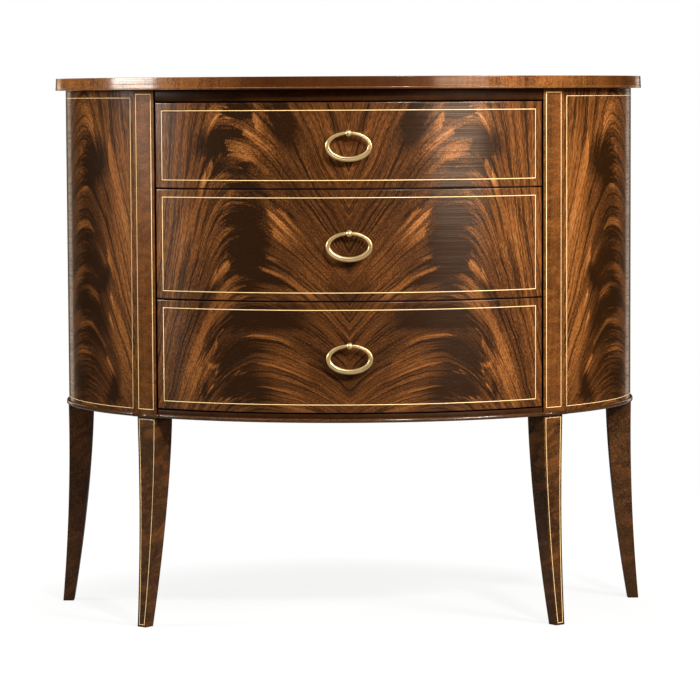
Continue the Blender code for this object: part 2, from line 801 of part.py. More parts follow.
def add_ring(name, parent):
    """Oval ring with a pin at each end, hung from the ball's middle, which is its origin."""
    start = math.asin((BALL_RADIUS + FIT) / RING_HALF_WIDTH)
    level = Vector((1, 0))
    pin_start = PIN_END_GAP
    pin_end = BALL_RADIUS + FIT
    drop = RING_HALF_HEIGHT * (1 - math.cos(start))
    sections = [
        ring_section(pin_start, 0, level, PIN_RADIUS),
        ring_section(pin_end, 0, level, PIN_RADIUS),
    ]
    for step in range(RING_STEPS + 1):
        angle = start + (2 * math.pi - 2 * start) * step / RING_STEPS
        x = RING_HALF_WIDTH * math.sin(angle)
        z = RING_HALF_HEIGHT * (math.cos(angle) - 1) + drop
        tangent = Vector((RING_HALF_WIDTH * math.cos(angle), -RING_HALF_HEIGHT * math.sin(angle)))
        if step in (0, RING_STEPS):
            tangent = level
        share = (1 - math.cos(angle)) / 2
        sections.append(ring_section(x, z, tangent.normalized(), ring_radius(share)))
    sections.append(ring_section(-pin_end, 0, level, PIN_RADIUS))
    sections.append(ring_section(-pin_start, 0, level, PIN_RADIUS))
    add_object(f"{name}_ring", skin(sections), "brass", parent)


def add_empty(name, location, parent=None):
    empty = bpy.data.objects.new(name, None)
    bpy.context.scene.collection.objects.link(empty)
    empty.parent = parent
    empty.location = location
    return empty


def add_drawers():
    for place, height, below in zip(DRAWER_NAMES, DRAWER_HEIGHTS, gap_heights()):
        name = f"{place}_drawer"
        middle = below + DRAWER_GAP / 2 + height / 2
        drawer = add_empty(name, (0, 0, middle))
        front = add_drawer_front(name, drawer, height)
        add_drawer_box(name, drawer, height, front)
        hinge = add_empty(f"{name}_pull", (0, plan(0, PULL_STANDOFF).y, PULL_RISE), drawer)
        add_pull_post(name, hinge)
        add_pull_nut(name, hinge)
        add_ring(name, hinge)


def clear_scene():
    for obj in list(bpy.data.objects):
        bpy.data.objects.remove(obj, do_unlink=True)


def main():
    clear_scene()
    add_top()
    add_rail("top_rail", TOP_RAIL_DEPTH, TOP_RAIL_UNDERSIDE, TOP_UNDERSIDE - FIT)
    add_rail("bottom_rail", FRONT_THICKNESS, LEG_HEIGHT, BOTTOM_RAIL_TOP)
    add_dividers()
    add_bottom_board()
    add_back_panel()
    add_front_bead()
    for name, side in SIDES:
        add_partition(name, side)
        add_side_panel(name, side)
        add_stile(name, side)
        add_post(name, side)
        add_side_bead(name, side)
        add_stile_bead(name, side)
        add_front_leg(name, side)
        add_back_leg(name, side)
    add_drawers()


main()
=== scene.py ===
"""Dresses the demilune cabinet: finer shapes, veneers, string lines, brass pulls, and the studio.

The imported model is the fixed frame. A new piece takes the place of the solids that it is listed with
and moves with their body. Curved pieces start as straight boards whose X is the length round the
body's plan from the middle of the front, whose Y runs into the wood and whose Z is the height.
"""

import bisect
import functools
import math

import bmesh
import bpy
from mathutils import Euler, Matrix, Vector


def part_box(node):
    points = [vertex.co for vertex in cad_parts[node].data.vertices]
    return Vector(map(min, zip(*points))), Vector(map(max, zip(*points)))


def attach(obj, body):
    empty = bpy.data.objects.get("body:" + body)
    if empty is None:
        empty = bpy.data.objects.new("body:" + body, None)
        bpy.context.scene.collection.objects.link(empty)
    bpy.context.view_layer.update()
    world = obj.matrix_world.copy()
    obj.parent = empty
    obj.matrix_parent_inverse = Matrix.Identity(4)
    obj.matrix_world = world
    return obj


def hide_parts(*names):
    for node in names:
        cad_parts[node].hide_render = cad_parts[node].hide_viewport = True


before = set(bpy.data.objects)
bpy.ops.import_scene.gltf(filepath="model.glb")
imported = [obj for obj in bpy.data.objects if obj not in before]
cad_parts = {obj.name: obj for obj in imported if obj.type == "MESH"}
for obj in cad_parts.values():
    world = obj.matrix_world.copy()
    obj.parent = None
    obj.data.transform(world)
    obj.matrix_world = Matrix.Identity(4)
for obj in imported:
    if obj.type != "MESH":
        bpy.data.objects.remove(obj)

bl_info = {
    "name": "Demilune cabinet",
    "version": (1, 0, 0),
    "blender": (4, 5, 0),
    "location": "3D View > Sidebar > Demilune",
    "description": "Builds the fine pieces and finishes of a half-oval cabinet on its packed model",
    "category": "Object",
}

# Sizes that the frame gives
TOP_LOW, TOP_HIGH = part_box("top")
PANEL_LOW, PANEL_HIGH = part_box("right_side_panel")
FRONT_LOW, FRONT_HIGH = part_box("middle_drawer_front")
HALF_WIDTH = PANEL_HIGH.x
BACK_Y = PANEL_HIGH.y
DEPTH = BACK_Y - FRONT_LOW.y
LEG_HEIGHT = PANEL_LOW.z
UNDERSIDE = TOP_LOW.z
HEIGHT = TOP_HIGH.z
OVERHANG = TOP_HIGH.x - HALF_WIDTH
DRAWER_HALF_WIDTH = FRONT_HIGH.x
LENGTH_STEPS = 3000

# Sizes of the boards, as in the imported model
FIT = 0.0003
FRONT_THICKNESS = 0.020
PANEL_THICKNESS = 0.018
TOP_RAIL_DEPTH = 0.033
STILE_T = math.radians(43.4)
STILE_WIDTH = 0.046
STILE_DEPTH = 0.030
STILE_PROUD = 0.002
DRAWER_END_GAP = 0.003
BEAD_HEIGHT = 0.0064
BEAD_PROJECTION = 0.004
LEG_TOP_WIDTH = 0.0415
LEG_FOOT_WIDTH = 0.0188
LEG_SET_BACK = 0.001
LEG_TAPER_POWER = 1.2
LEG_SWEEP_POWER = 1.8
FRONT_LEG_SWEEP = 0.029
BACK_LEG_SWEEP = 0.026

# Ring pulls
PULL_STANDOFF = 0.0115
BALL_RADIUS = 0.0055
NECK_RADIUS = 0.0028
COLLAR_RADIUS = 0.0042
COLLAR_THICKNESS = 0.0012
STEM_RADIUS = 0.002
STEM_LENGTH = 0.0256
PIN_RADIUS = 0.0017
RING_HALF_WIDTH = 0.0345
RING_HALF_HEIGHT = 0.0212
RING_RADIUS_AT_BALL = 0.0026
RING_RADIUS_AT_SIDE = 0.0037
RING_RADIUS_AT_FOOT = 0.0043
RING_DEPTH_SHARE = 0.85
RING_SIDE_DROP_SHARE = 0.5
GROOVE_SPREAD = 0.3

DRAWERS = ("lower", "middle", "upper")
SIDES = (("left", -1), ("right", 1))
QUARTER = math.pi / 2
UV_NAME = "veneer"

# How finely pieces are cut along a curve, and how far from an edge the cut that keeps a face flat runs
COLUMN = 0.008
ROW = 0.012
SUPPORT = 0.0016

# Steps round and along the turned pieces, and the angles from which their edges look sharp
POST_SHARP_ANGLE = math.radians(40)
RING_SHARP_ANGLE = math.radians(50)
BALL_STEPS = 14
POST_STEPS = 32
RING_STEPS = 96
RING_SECTION_STEPS = 28
PIN_STEPS = 20

# Rounds that bring a sought place on the plan close enough
HALVINGS = 48
FOOT_ROUNDS = 12


# Plan of the body


def normal_at(t):
    """Unit normal of the body's ellipse at the angle t from the middle of the front."""
    return Vector((math.sin(t) / HALF_WIDTH, -math.cos(t) / DEPTH)).normalized()


def plan(t, out=0.0):
    """Point of the body's ellipse at the angle t, moved out along the normal."""
    on_curve = Vector((HALF_WIDTH * math.sin(t), BACK_Y - DEPTH * math.cos(t)))
    return on_curve + out * normal_at(t)


def solve(measure, target):
    """The angle from the front's middle to the back where the growing measure reaches the target."""
    low = 0.0
    high = QUARTER
    for _ in range(HALVINGS):
        middle = (low + high) / 2
        if measure(middle) < target:
            low = middle
        else:
            high = middle
    return (low + high) / 2


@functools.cache
def t_at_x(x, out=0.0):
    return solve(lambda t: plan(t, out).x, x)


def lengths_round_the_plan():
    """Length from the front's middle to each of the evenly spaced angles up to the back."""
    lengths = [0.0]
    step = QUARTER / LENGTH_STEPS
    for index in range(LENGTH_STEPS):
        t = (index + 0.5) * step
        lengths.append(lengths[-1] + step * math.hypot(HALF_WIDTH * math.cos(t), DEPTH * math.sin(t)))
    return lengths


LENGTHS = lengths_round_the_plan()


def length_at(t):
    position = abs(t) / QUARTER * LENGTH_STEPS
    index = min(int(position), LENGTH_STEPS - 1)
    length = LENGTHS[index] + (position - index) * (LENGTHS[index + 1] - LENGTHS[index])
    return math.copysign(length, t)


def t_at_length(length):
    size = min(abs(length), LENGTHS[-1])
    index = min(max(bisect.bisect_right(LENGTHS, size) - 1, 0), LENGTH_STEPS - 1)
    share = (size - LENGTHS[index]) / (LENGTHS[index + 1] - LENGTHS[index])
    return math.copysign((index + share) / LENGTH_STEPS * QUARTER, length)


STILE_NORMAL = normal_at(STILE_T)
STILE_ACROSS = Vector((-STILE_NORMAL.y, STILE_NORMAL.x))


def stile_point(across, out):
    """Point in the right stile's axes: across its face towards the back, and out of the body."""
    return plan(STILE_T) + across * STILE_ACROSS + out * STILE_NORMAL


@functools.cache
def t_at_across(across, out=0.0):
    return solve(lambda t: (plan(t, out) - plan(STILE_T)).dot(STILE_ACROSS), across)


def both_ways(t):
    return -t, t


# Shaping


def straight_board(x_range, y_range, z_range):
    """Mesh of a straight board between these pairs of limits."""
    bm = bmesh.new()
    bmesh.ops.create_cube(bm, size=1)
    limits = (x_range, y_range, z_range)
    bmesh.ops.scale(bm, vec=[high - low for low, high in limits], verts=bm.verts)
    bmesh.ops.translate(bm, vec=[(high + low) / 2 for low, high in limits], verts=bm.verts)
    return bm


def extruded(bm, faces, offset):
    """Raises the faces by the offset, and gives the corners that moved."""
    raised = bmesh.ops.extrude_face_region(bm, geom=faces)["geom"]
    corners = [part for part in raised if isinstance(part, bmesh.types.BMVert)]
    bmesh.ops.translate(bm, vec=offset, verts=corners)
    return corners


def prism(outline, low, high):
    """Mesh of the outline raised from one height to another."""
    bm = bmesh.new()
    base = bm.faces.new([bm.verts.new((point.x, point.y, low)) for point in outline])
    extruded(bm, [base], (0, 0, high - low))
    return bm


def round_edges(bm, width, edges=None, segments=2):
    bmesh.ops.bevel(
        bm,
        geom=list(edges or bm.edges),
        offset=width,
        offset_type="OFFSET",
        segments=segments,
        profile=0.5,
        affect="EDGES",
        material=-1,
        clamp_overlap=True,
    )


def score(bm, axis, levels):
    """Cuts the faces through at each level along the axis, and keeps both sides."""
    normal = Vector((0, 0, 0))
    normal[axis] = 1
    for level in levels:
        geometry = bm.verts[:] + bm.edges[:] + bm.faces[:]
        bmesh.ops.bisect_plane(bm, geom=geometry, plane_co=normal * level, plane_no=normal)


def score_evenly(bm, axis, spacing, support=0.0):
    """Cuts at even spacing between the mesh's ends, and beside both ends where a support is given."""
    low = min(vert.co[axis] for vert in bm.verts)
    high = max(vert.co[axis] for vert in bm.verts)
    count = max(1, round((high - low) / spacing))
    levels = [low + (high - low) * step / count for step in range(1, count)]
    if support:
        levels += [low + support, high - support]
    score(bm, axis, levels)


def lay_veneer(bm):
    """Writes the straight board's length and height as the veneer's coordinates, in metres."""
    layer = bm.loops.layers.uv.new(UV_NAME)
    for face in bm.faces:
        for loop in face.loops:
            loop[layer].uv = (loop.vert.co.x, loop.vert.co.z)


def bend(bm, ends, angles):
    """Bends a straight board round the plan. The ends are its two ends' lengths, and the function
    gives the angles that they come to at a distance out of the body."""
    start, end = ends
    for vert in bm.verts:
        out = round(-vert.co.y, 7)
        first, last = (length_at(t) for t in angles(out))
        share = (vert.co.x - start) / (end - start)
        point = plan(t_at_length(first + (last - first) * share), out)
        vert.co = (point.x, point.y, vert.co.z)


def to_stile(bm, side):
    """Places a mesh made in the right stile's axes, mirrored where the side is the left."""
    for vert in bm.verts:
        point = stile_point(vert.co.x, -vert.co.y)
        vert.co = (side * point.x, point.y, vert.co.z)


def frame_strip(x_range, z_range, width, proud, depth):
    """Straight mesh of a thin frame of line whose outer edges are these limits."""
    bm = bmesh.new()
    bmesh.ops.create_grid(bm, x_segments=1, y_segments=1, size=0.5)
    bmesh.ops.rotate(bm, cent=(0, 0, 0), matrix=Matrix.Rotation(QUARTER, 3, "X"), verts=bm.verts)
    size = (x_range[1] - x_range[0], 1, z_range[1] - z_range[0])
    middle = (sum(x_range) / 2, -proud, sum(z_range) / 2)
    bmesh.ops.scale(bm, vec=size, verts=bm.verts)
    bmesh.ops.translate(bm, vec=middle, verts=bm.verts)
    inner = bm.faces[:]
    bmesh.ops.inset_region(bm, faces=inner, thickness=width, use_boundary=True, use_even_offset=True)
    bmesh.ops.delete(bm, geom=inner, context="FACES")
    extruded(bm, bm.faces[:], (0, proud + depth, 0))
    return bm


def add_object(name, data):
    obj = bpy.data.objects.new(name, data)
    bpy.context.scene.collection.objects.link(obj)
    return obj


def add_piece(name, bm, finishes, replaced, body="carcass"):
    """The finished object from its mesh: it takes the place of these solids and moves with the body."""
    bmesh.ops.recalc_face_normals(bm, faces=bm.faces)
    mesh = bpy.data.meshes.new(name)
    bm.to_mesh(mesh)
    bm.free()
    mesh.shade_smooth()
    for finish_name in finishes:
        mesh.materials.append(finish(finish_name))
    obj = add_object(name, mesh)
    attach(obj, body)
    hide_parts(*replaced)
    return obj


def add_line(name, bm, node, body="carcass"):
    add_piece(name, bm, ["string_line"], [node], body)


def add_curved_board(name, node, thickness, angles, finishes, body="carcass"):
    """A curved board in place of a solid. One with two finishes is in flame veneer, and its rear has
    the second finish."""
    flamed = len(finishes) > 1
    low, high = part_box(node)
    ends = [length_at(t) for t in angles(0.0)]
    bm = straight_board(sorted(ends), (0, thickness), (low.z, high.z))
    round_edges(bm, bpy.context.scene.demilune_sizes.edge_round)
    score_evenly(bm, 0, COLUMN, SUPPORT if flamed else 0.0)
    if flamed:
        score(bm, 2, (low.z + SUPPORT, high.z - SUPPORT))
        lay_veneer(bm)
        bm.normal_update()
        for face in bm.faces:
            face.material_index = int(face.normal.y > 0.5)
    bend(bm, ends, angles)
    add_piece(name, bm, finishes, [node], body)


def add_curved_line(name, node, lengths, board, width, body="carcass"):
    """A frame of line between two lengths round the plan, let into the face of this curved board."""
    sizes = bpy.context.scene.demilune_sizes
    low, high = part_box(board)
    inside = sizes.drawer_line_margin
    heights = (low.z + inside, high.z - inside)
    bm = frame_strip(lengths, heights, width, sizes.line_proud, sizes.line_depth)
    score_evenly(bm, 0, COLUMN)
    bend(bm, lengths, lambda out: [t_at_length(length) for length in lengths])
    add_line(name, bm, node, body)


# Settings


def length_property(name, description, default):
    return bpy.props.FloatProperty(name=name, description=description, default=default, unit="LENGTH")


def power_property(name, description, default):
    return bpy.props.FloatProperty(name=name, description=description, default=default, unit="POWER")


def brightness_property(name, description, default):
    return bpy.props.FloatProperty(name=name, description=description, default=default)


def colour_property(name, description, colour):
    return bpy.props.FloatVectorProperty(
        name=name, description=description, default=colour, subtype="COLOR", size=3, min=0, max=1
    )


class DemiluneSizes(bpy.types.PropertyGroup):
    """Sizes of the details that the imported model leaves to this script."""

    edge_round: length_property("Edge round", "Rounding of the boards' edges", 0.0007)
    leg_round: length_property("Leg edge round", "Rounding of the legs' edges", 0.0009)
    top_round: length_property("Top edge round", "Rounding of the top's edges", 0.0007)
    edge_lean: length_property(
        "Edge lean", "How far the top's edge leans in towards its upper face", 0.0009
    )
    line_width: length_property("Line width", "Width of the inlaid lines", 0.0012)
    fine_line_width: length_property(
        "Fine line width", "Width of the line in the legs and the side panels", 0.001
    )
    line_proud: length_property("Line height", "How far a line stands out of the wood", 0.00003)
    line_depth: length_property("Line depth", "How deep a line is let in", 0.0009)
    drawer_line_margin: length_property(
        "Drawer line margin", "From the edge of a drawer or a side panel to its line", 0.0122
    )
    panel_line_side_margin: length_property(
        "Panel line margin", "From the stile to the line of a side panel", 0.0080
    )
    stile_line_margin: length_property("Stile line margin", "From a stile's edge to its line", 0.0060)
    leg_line_margin: length_property("Leg line margin", "From a leg's edge to its line", 0.0036)
    top_line_rise: length_property(
        "Top line rise", "From the top's underside to the line in its edge", 0.0022
    )
    crossband_width: length_property("Crossband width", "Width of the band round the top", 0.028)
    ring_groove: length_property("Ring groove", "Depth of the groove round a ring's face", 0.0009)


class DemiluneColours(bpy.types.PropertyGroup):
    """Colours of the woods, the lines and the metal."""

    flame_shadow: colour_property(
        "Flame shadow", "Darkest parts of the flame veneer", (0.0145, 0.005, 0.001)
    )
    flame_brown: colour_property("Flame brown", "Ground of the flame veneer", (0.067, 0.0206, 0.0039))
    flame_amber: colour_property("Flame amber", "Light streaks of the flame veneer", (0.219, 0.074, 0.0148))
    flame_glow: colour_property("Flame glow", "Brightest flares of the veneer", (0.46, 0.192, 0.059))
    # Pale flecks: partly pale grain, partly painted glints.
    fleck_pale_glint: colour_property("Pale fleck", "Fine pale flecks in the polished woods", (0.5, 0.28, 0.115))
    fleck_deep: colour_property(
        "Deep fleck", "Fine dark flecks in the polished woods", (0.012, 0.003, 0.0004)
    )
    plain_dark: colour_property("Plain dark", "Dark grain of the plain mahogany", (0.040, 0.0115, 0.0024))
    plain_light: colour_property(
        "Plain light", "Light grain of the plain mahogany", (0.146, 0.0492, 0.0101)
    )
    # Rail colours: the rails' grain, darkened as painted shade for the frieze rail under the top's overhang;
    # the lower rail takes the same colours.
    rail_dark: colour_property("Rail dark", "Dark grain of the rails", (0.009, 0.0028, 0.0007))
    rail_light: colour_property("Rail light", "Light grain of the rails", (0.038, 0.0125, 0.003))
    leg_dark: colour_property("Leg dark", "Dark grain of the legs", (0.013, 0.0047, 0.0011))
    leg_light: colour_property("Leg light", "Light grain of the legs", (0.068, 0.0254, 0.0063))
    # Band dark is also the colour of the painted shade over the band's middle and right end.
    band_dark: colour_property("Band dark", "Dark grain of the top's band", (0.034, 0.0092, 0.0017))
    band_light: colour_property("Band light", "Light grain of the top's band", (0.42, 0.150, 0.033))
    line_pale: colour_property("Line pale", "Wood of the inlaid lines", (0.96, 0.75, 0.40))
    line_deep: colour_property("Line deep", "Darker grain of the inlaid lines", (0.74, 0.50, 0.20))
    edge_line: colour_property("Edge line", "Wood of the line in the top's edge", (0.3, 0.125, 0.036))
    brass_light: colour_property("Brass light", "Bright parts of the pulls", (0.82, 0.62, 0.32))
    brass_deep: colour_property("Brass deep", "Toned parts of the pulls", (0.54, 0.375, 0.155))
    lining_dark: colour_property("Lining dark", "Dark grain of the drawers' lining", (0.3, 0.17, 0.08))
    lining_light: colour_property("Lining light", "Light grain of the drawers' lining", (0.52, 0.35, 0.19))
    board_dark: colour_property("Board dark", "Dark grain of the inside boards", (0.16, 0.085, 0.04))
    board_light: colour_property("Board light", "Light grain of the inside boards", (0.34, 0.21, 0.11))
    steel: colour_property("Steel", "Nuts behind the drawers' fronts", (0.5, 0.5, 0.5))


class DemiluneStudio(bpy.types.PropertyGroup):
    """Strengths of the soft lights and the paleness of the floor."""

    right_light: power_property("Right light", "Power of the soft light on the right", 31.0)
    left_light: power_property("Left light", "Power of the soft light on the left", 93.0)
    left_low_light: power_property("Left low light", "Power of the faint light low on the left", 1.8)
    right_overhead_light: power_property(
        "Right overhead light", "Power of the soft light above the right", 120.0
    )
    key_light: power_property(
        "Key light", "Power of the small light that gives the pulls their shadows", 150.0
    )
    left_overhead_light: power_property(
        "Left overhead light", "Power of the soft light above the left", 16.0
    )
    rim_light: power_property("Rim lights", "Power of each soft light behind the cabinet", 6)
    surround: brightness_property("Surround", "Brightness of the dim room that the lacquer mirrors", 0.01)
    # Floor glow: below white, it paints a faint pool of shade round the feet.
    floor_glow: brightness_property(
        "Floor glow", "Paleness that the camera sees in the floor by itself", 0.862
    )
    # Floor bounce: a painted glow that stands in for light bounced off the floor.
    floor_bounce: brightness_property(
        "Floor bounce", "Light that the floor gives the cabinet from below", 0.28
    )


def colour_named(name):
    return getattr(bpy.context.scene.demilune_colours, name)


# Building of node trees


def set_inputs(tree, node, inputs):
    """Sets the node's inputs to values, or links them to sockets."""
    for key, value in dict(inputs).items():
        if isinstance(value, bpy.types.NodeSocket):
            tree.links.new(value, node.inputs[key])
        else:
            node.inputs[key].default_value = value


def place(tree, kind, inputs=(), **settings):
    """A new node with its settings and its inputs."""
    made = tree.nodes.new(kind)
    for name, value in settings.items():
        setattr(made, name, value)
    set_inputs(tree, made, inputs)
    return made


def maths(tree, operation, *values):
    return place(tree, "ShaderNodeMath", dict(enumerate(values)), operation=operation).outputs[0]


def vectors(tree, operation, *values):
    return place(tree, "ShaderNodeVectorMath", dict(enumerate(values)), operation=operation).outputs[0]


def times(tree, vector, amount):
    return place(tree, "ShaderNodeVectorMath", {0: vector, "Scale": amount}, operation="SCALE").outputs[0]


def vector_of(tree, *parts):
    return place(tree, "ShaderNodeCombineXYZ", dict(enumerate(parts))).outputs[0]


def parts_of(tree, vector):
    return place(tree, "ShaderNodeSeparateXYZ", {0: vector}).outputs


def turned_vector(tree, vector, rotation):
    return place(tree, "ShaderNodeMapping", {"Vector": vector, "Rotation": rotation}).outputs[0]


def noise(tree, vector, size, detail=2.0, roughness=0.5, distortion=0.0, output="Fac"):
    """Noise that is finer along an axis the larger the size's number for it."""
    scaled = place(tree, "ShaderNodeMapping", {"Vector": vector, "Scale": size}).outputs[0]
    inputs = {"Vector": scaled, "Scale": 1.0, "Detail": detail, "Roughness": roughness}
    inputs["Distortion"] = distortion
    return place(tree, "ShaderNodeTexNoise", inputs).outputs[output]


def spread(tree, value, low, high, to_low=0.0, to_high=1.0, smooth=False):
    """The value's range from low to high, stretched to another range and held there."""
    inputs = {"Value": value, "From Min": low, "From Max": high, "To Min": to_low, "To Max": to_high}
    kind = "SMOOTHSTEP" if smooth else "LINEAR"
    return place(tree, "ShaderNodeMapRange", inputs, interpolation_type=kind, clamp=True).outputs[0]


def mixed(tree, share, first, second):
    """The mix of two colours. Each is a socket, a colour or the name of a colour setting."""
    ends = [(*colour_named(end), 1) if isinstance(end, str) else end for end in (first, second)]
    return place(tree, "ShaderNodeMix", {0: share, 6: ends[0], 7: ends[1]}, data_type="RGBA").outputs[2]


def ramp(tree, value, stops):
    """A colour ramp through pairs of a position and the name of a colour setting."""
    made = place(tree, "ShaderNodeValToRGB", {"Fac": value})
    elements = made.color_ramp.elements
    while len(elements) < len(stops):
        elements.new(0.5)
    for element, (position, name) in zip(elements, stops):
        element.position = position
        element.color = (*colour_named(name), 1)
    return made.outputs["Color"]


def grouped(tree, name, inputs):
    """The outputs of a shared group placed in the tree with these inputs."""
    return place(tree, "ShaderNodeGroup", inputs, node_tree=effect(name)).outputs


def veneer_coordinates(tree):
    return place(tree, "ShaderNodeUVMap", uv_map=UV_NAME).outputs[0]


def object_coordinates(tree):
    return tree.nodes.new("ShaderNodeTexCoord").outputs["Object"]


def new_material(name, inputs):
    """A material whose shader has these inputs, with its node tree and its shader."""
    material = bpy.data.materials.new(name)
    material.use_nodes = True
    tree = material.node_tree
    shader = tree.nodes["Principled BSDF"]
    set_inputs(tree, shader, inputs)
    return material, tree, shader


# Effects that several finishes share. Each function gives its group's outputs by their names.

# Height at which the grain of the figure runs at its plain slope, and how fast it steepens above
FLOW_MIDDLE = 0.6
FLOW_STRETCH = 0.34


def flow_at(across, up, flow_shape):
    """The figure's flow coordinates at a place: beside the arches' crest and across the lines of
    grain. The curl of the grain on that side comes third."""
    axis, lean, curls = flow_shape
    rise = up - FLOW_MIDDLE
    beside = across - axis - lean * rise
    curl = curls[0] if beside < 0 else curls[1]
    return beside, curl * beside**2 + FLOW_STRETCH * (1 - math.exp(-rise / FLOW_STRETCH)), curl


def crotch_flow(tree, given):
    """How the grain of a branch crotch flows in arches beside the seam of two leaves."""
    x, y, _ = parts_of(tree, given["Vector"])
    face = vector_of(tree, maths(tree, "ABSOLUTE", x), y)
    moved = face
    for size, share in ((7.0, 1.0), (24.0, 0.34)):
        drift = noise(tree, face, (size, size, size), output="Color")
        drift = vectors(tree, "SUBTRACT", drift, (0.5, 0.5, 0.5))
        drift = times(tree, drift, maths(tree, "MULTIPLY", given["Wander"], share))
        moved = vectors(tree, "ADD", moved, drift)
    x, y, _ = parts_of(tree, moved)
    rise = maths(tree, "SUBTRACT", y, FLOW_MIDDLE)
    crest = maths(tree, "MULTIPLY_ADD", given["Lean"], rise, given["Axis"])
    off_axis = maths(tree, "SUBTRACT", x, crest)
    inside = maths(tree, "LESS_THAN", off_axis, 0.0)
    more = maths(tree, "SUBTRACT", given["Inner Curl"], given["Outer Curl"])
    curl = maths(tree, "MULTIPLY_ADD", inside, more, given["Outer Curl"])
    bend_rate = maths(tree, "MULTIPLY", off_axis, curl)
    steepening = maths(tree, "EXPONENT", maths(tree, "DIVIDE", rise, -FLOW_STRETCH))
    height = maths(tree, "MULTIPLY_ADD", steepening, -FLOW_STRETCH, FLOW_STRETCH)
    across = maths(tree, "MULTIPLY_ADD", bend_rate, off_axis, height)
    slope = maths(tree, "DIVIDE", maths(tree, "MULTIPLY", bend_rate, -2.0), steepening)
    steep = maths(tree, "ABSOLUTE", maths(tree, "MULTIPLY", bend_rate, 2.0))
    return {
        "Face": face,
        "Flow": vector_of(tree, off_axis, across),
        "Direction": vectors(tree, "NORMALIZE", vector_of(tree, 1.0, slope)),
        "Steepness": spread(tree, steep, 0.8, 3.0, smooth=True),
    }


def streaks(tree, given):
    """Bands, veins, streaks, grain, speckle and pores along the flow, each from 0 to 1."""

    def along(gentle, steep, detail=3, roughness=0.6, distortion=0.0):
        """Noise drawn out along the flow, at one size where the grain lies and another where it stands."""
        pair = [
            noise(tree, given["Flow"], (*size, 1), detail, roughness, distortion)
            for size in (gentle, steep)
        ]
        inputs = {0: given["Steepness"], 2: pair[0], 3: pair[1]}
        return place(tree, "ShaderNodeMix", inputs, data_type="FLOAT").outputs[0]

    vein = maths(tree, "ABSOLUTE", maths(tree, "SUBTRACT", along((3, 62), (2.4, 23), 2, 0.45), 0.5))
    return {
        "Bands": spread(tree, along((4, 19), (3, 8), 3, 0.55, 0.4), 0.28, 0.72),
        "Veins": spread(tree, vein, 0.034, 0.004, smooth=True),
        "Streaks": spread(tree, along((7, 74), (6, 30), 4, 0.62, 0.3), 0.34, 0.66),
        "Grain": spread(tree, along((80, 430), (80, 160), 2, 0.6), 0.32, 0.68),
        "Speckle": spread(tree, along((430, 900), (430, 360), 1), 0.34, 0.66),
        "Pores": spread(tree, along((150, 1300), (150, 480), 1), 0.56, 0.68),
    }


def patch(tree, given):
    """A soft oval patch with a centre, a size and a turn, 1 in its middle and 0 outside."""
    inputs = {"Vector": given["Vector"], "Location": given["Centre"], "Scale": given["Size"]}
    inputs["Rotation"] = vector_of(tree, 0.0, 0.0, given["Turn"])
    mapped = place(tree, "ShaderNodeMapping", inputs, vector_type="TEXTURE").outputs[0]
    length = place(tree, "ShaderNodeVectorMath", {0: mapped}, operation="LENGTH").outputs["Value"]
    return {"Mask": spread(tree, length, 1.25, 0.3, smooth=True)}


def tongue(tree, given):
    """A bright flame tongue along the flow, ragged at its tip and fading away from it."""
    placed = vectors(tree, "DIVIDE", vectors(tree, "SUBTRACT", given["Flow"], given["Tip"]), given["Size"])
    x, y, _ = parts_of(tree, placed)
    along = maths(tree, "MULTIPLY_ADD", given["Tooth"], 0.3, x)
    begun = spread(tree, along, 0.0, 0.07, smooth=True)
    fading = spread(tree, along, 1.0, 0.12, smooth=True)
    beside = spread(tree, maths(tree, "ABSOLUTE", y), 1.0, 0.35, smooth=True)
    return {"Mask": maths(tree, "MULTIPLY", maths(tree, "MULTIPLY", begun, fading), beside)}


def straight_grain(tree, given):
    """Straight grain along Z with mottling across it, and pores, each from 0 to 1."""
    vector = times(tree, given["Vector"], given["Fineness"])
    drift = noise(tree, vector, (9, 9, 3), 2, output="Color")
    drift = vectors(tree, "MULTIPLY_ADD", drift, (0.02, 0.02, 0.0), vector)
    broad = noise(tree, drift, (38, 38, 2.6), 3, 0.55, 0.3)
    fine = noise(tree, drift, (330, 330, 9), 3, 0.65)
    mottle = noise(tree, drift, (24, 24, 62), 3, 0.6, 1.0)
    speckle = noise(tree, drift, (850, 850, 420), 1, 0.5)
    pores = noise(tree, drift, (1400, 1400, 70), 1, 0.5)
    tone = maths(tree, "MULTIPLY", broad, 0.42)
    for mark, share in ((fine, 0.26), (mottle, 0.24), (speckle, 0.12)):
        tone = maths(tree, "MULTIPLY_ADD", mark, share, tone)
    return {
        "Tone": spread(tree, tone, 0.38, 0.66),
        "Mottle": spread(tree, mottle, 0.44, 0.66, smooth=True),
        "Speckle": spread(tree, speckle, 0.34, 0.66),
        "Pores": spread(tree, pores, 0.6, 0.72),
    }


def rubbed_lacquer(tree, given):
    """The faint lines left by rubbing the lacquer down along the length, as a height."""
    return {"Height": noise(tree, given["Vector"], (4, 410, 410), 2, 0.6)}


# Each group's function, its vector inputs and its float inputs
EFFECTS = {
    "Crotch flow": (crotch_flow, ("Vector",), ("Axis", "Lean", "Inner Curl", "Outer Curl", "Wander")),
    "Streaks along the flow": (streaks, ("Flow",), ("Steepness",)),
    "Soft patch": (patch, ("Vector", "Centre", "Size"), ("Turn",)),
    "Flame tongue": (tongue, ("Flow", "Tip", "Size"), ("Tooth",)),
    "Straight grain": (straight_grain, ("Vector",), ("Fineness",)),
    "Rubbed lacquer": (rubbed_lacquer, ("Vector",), ()),
}


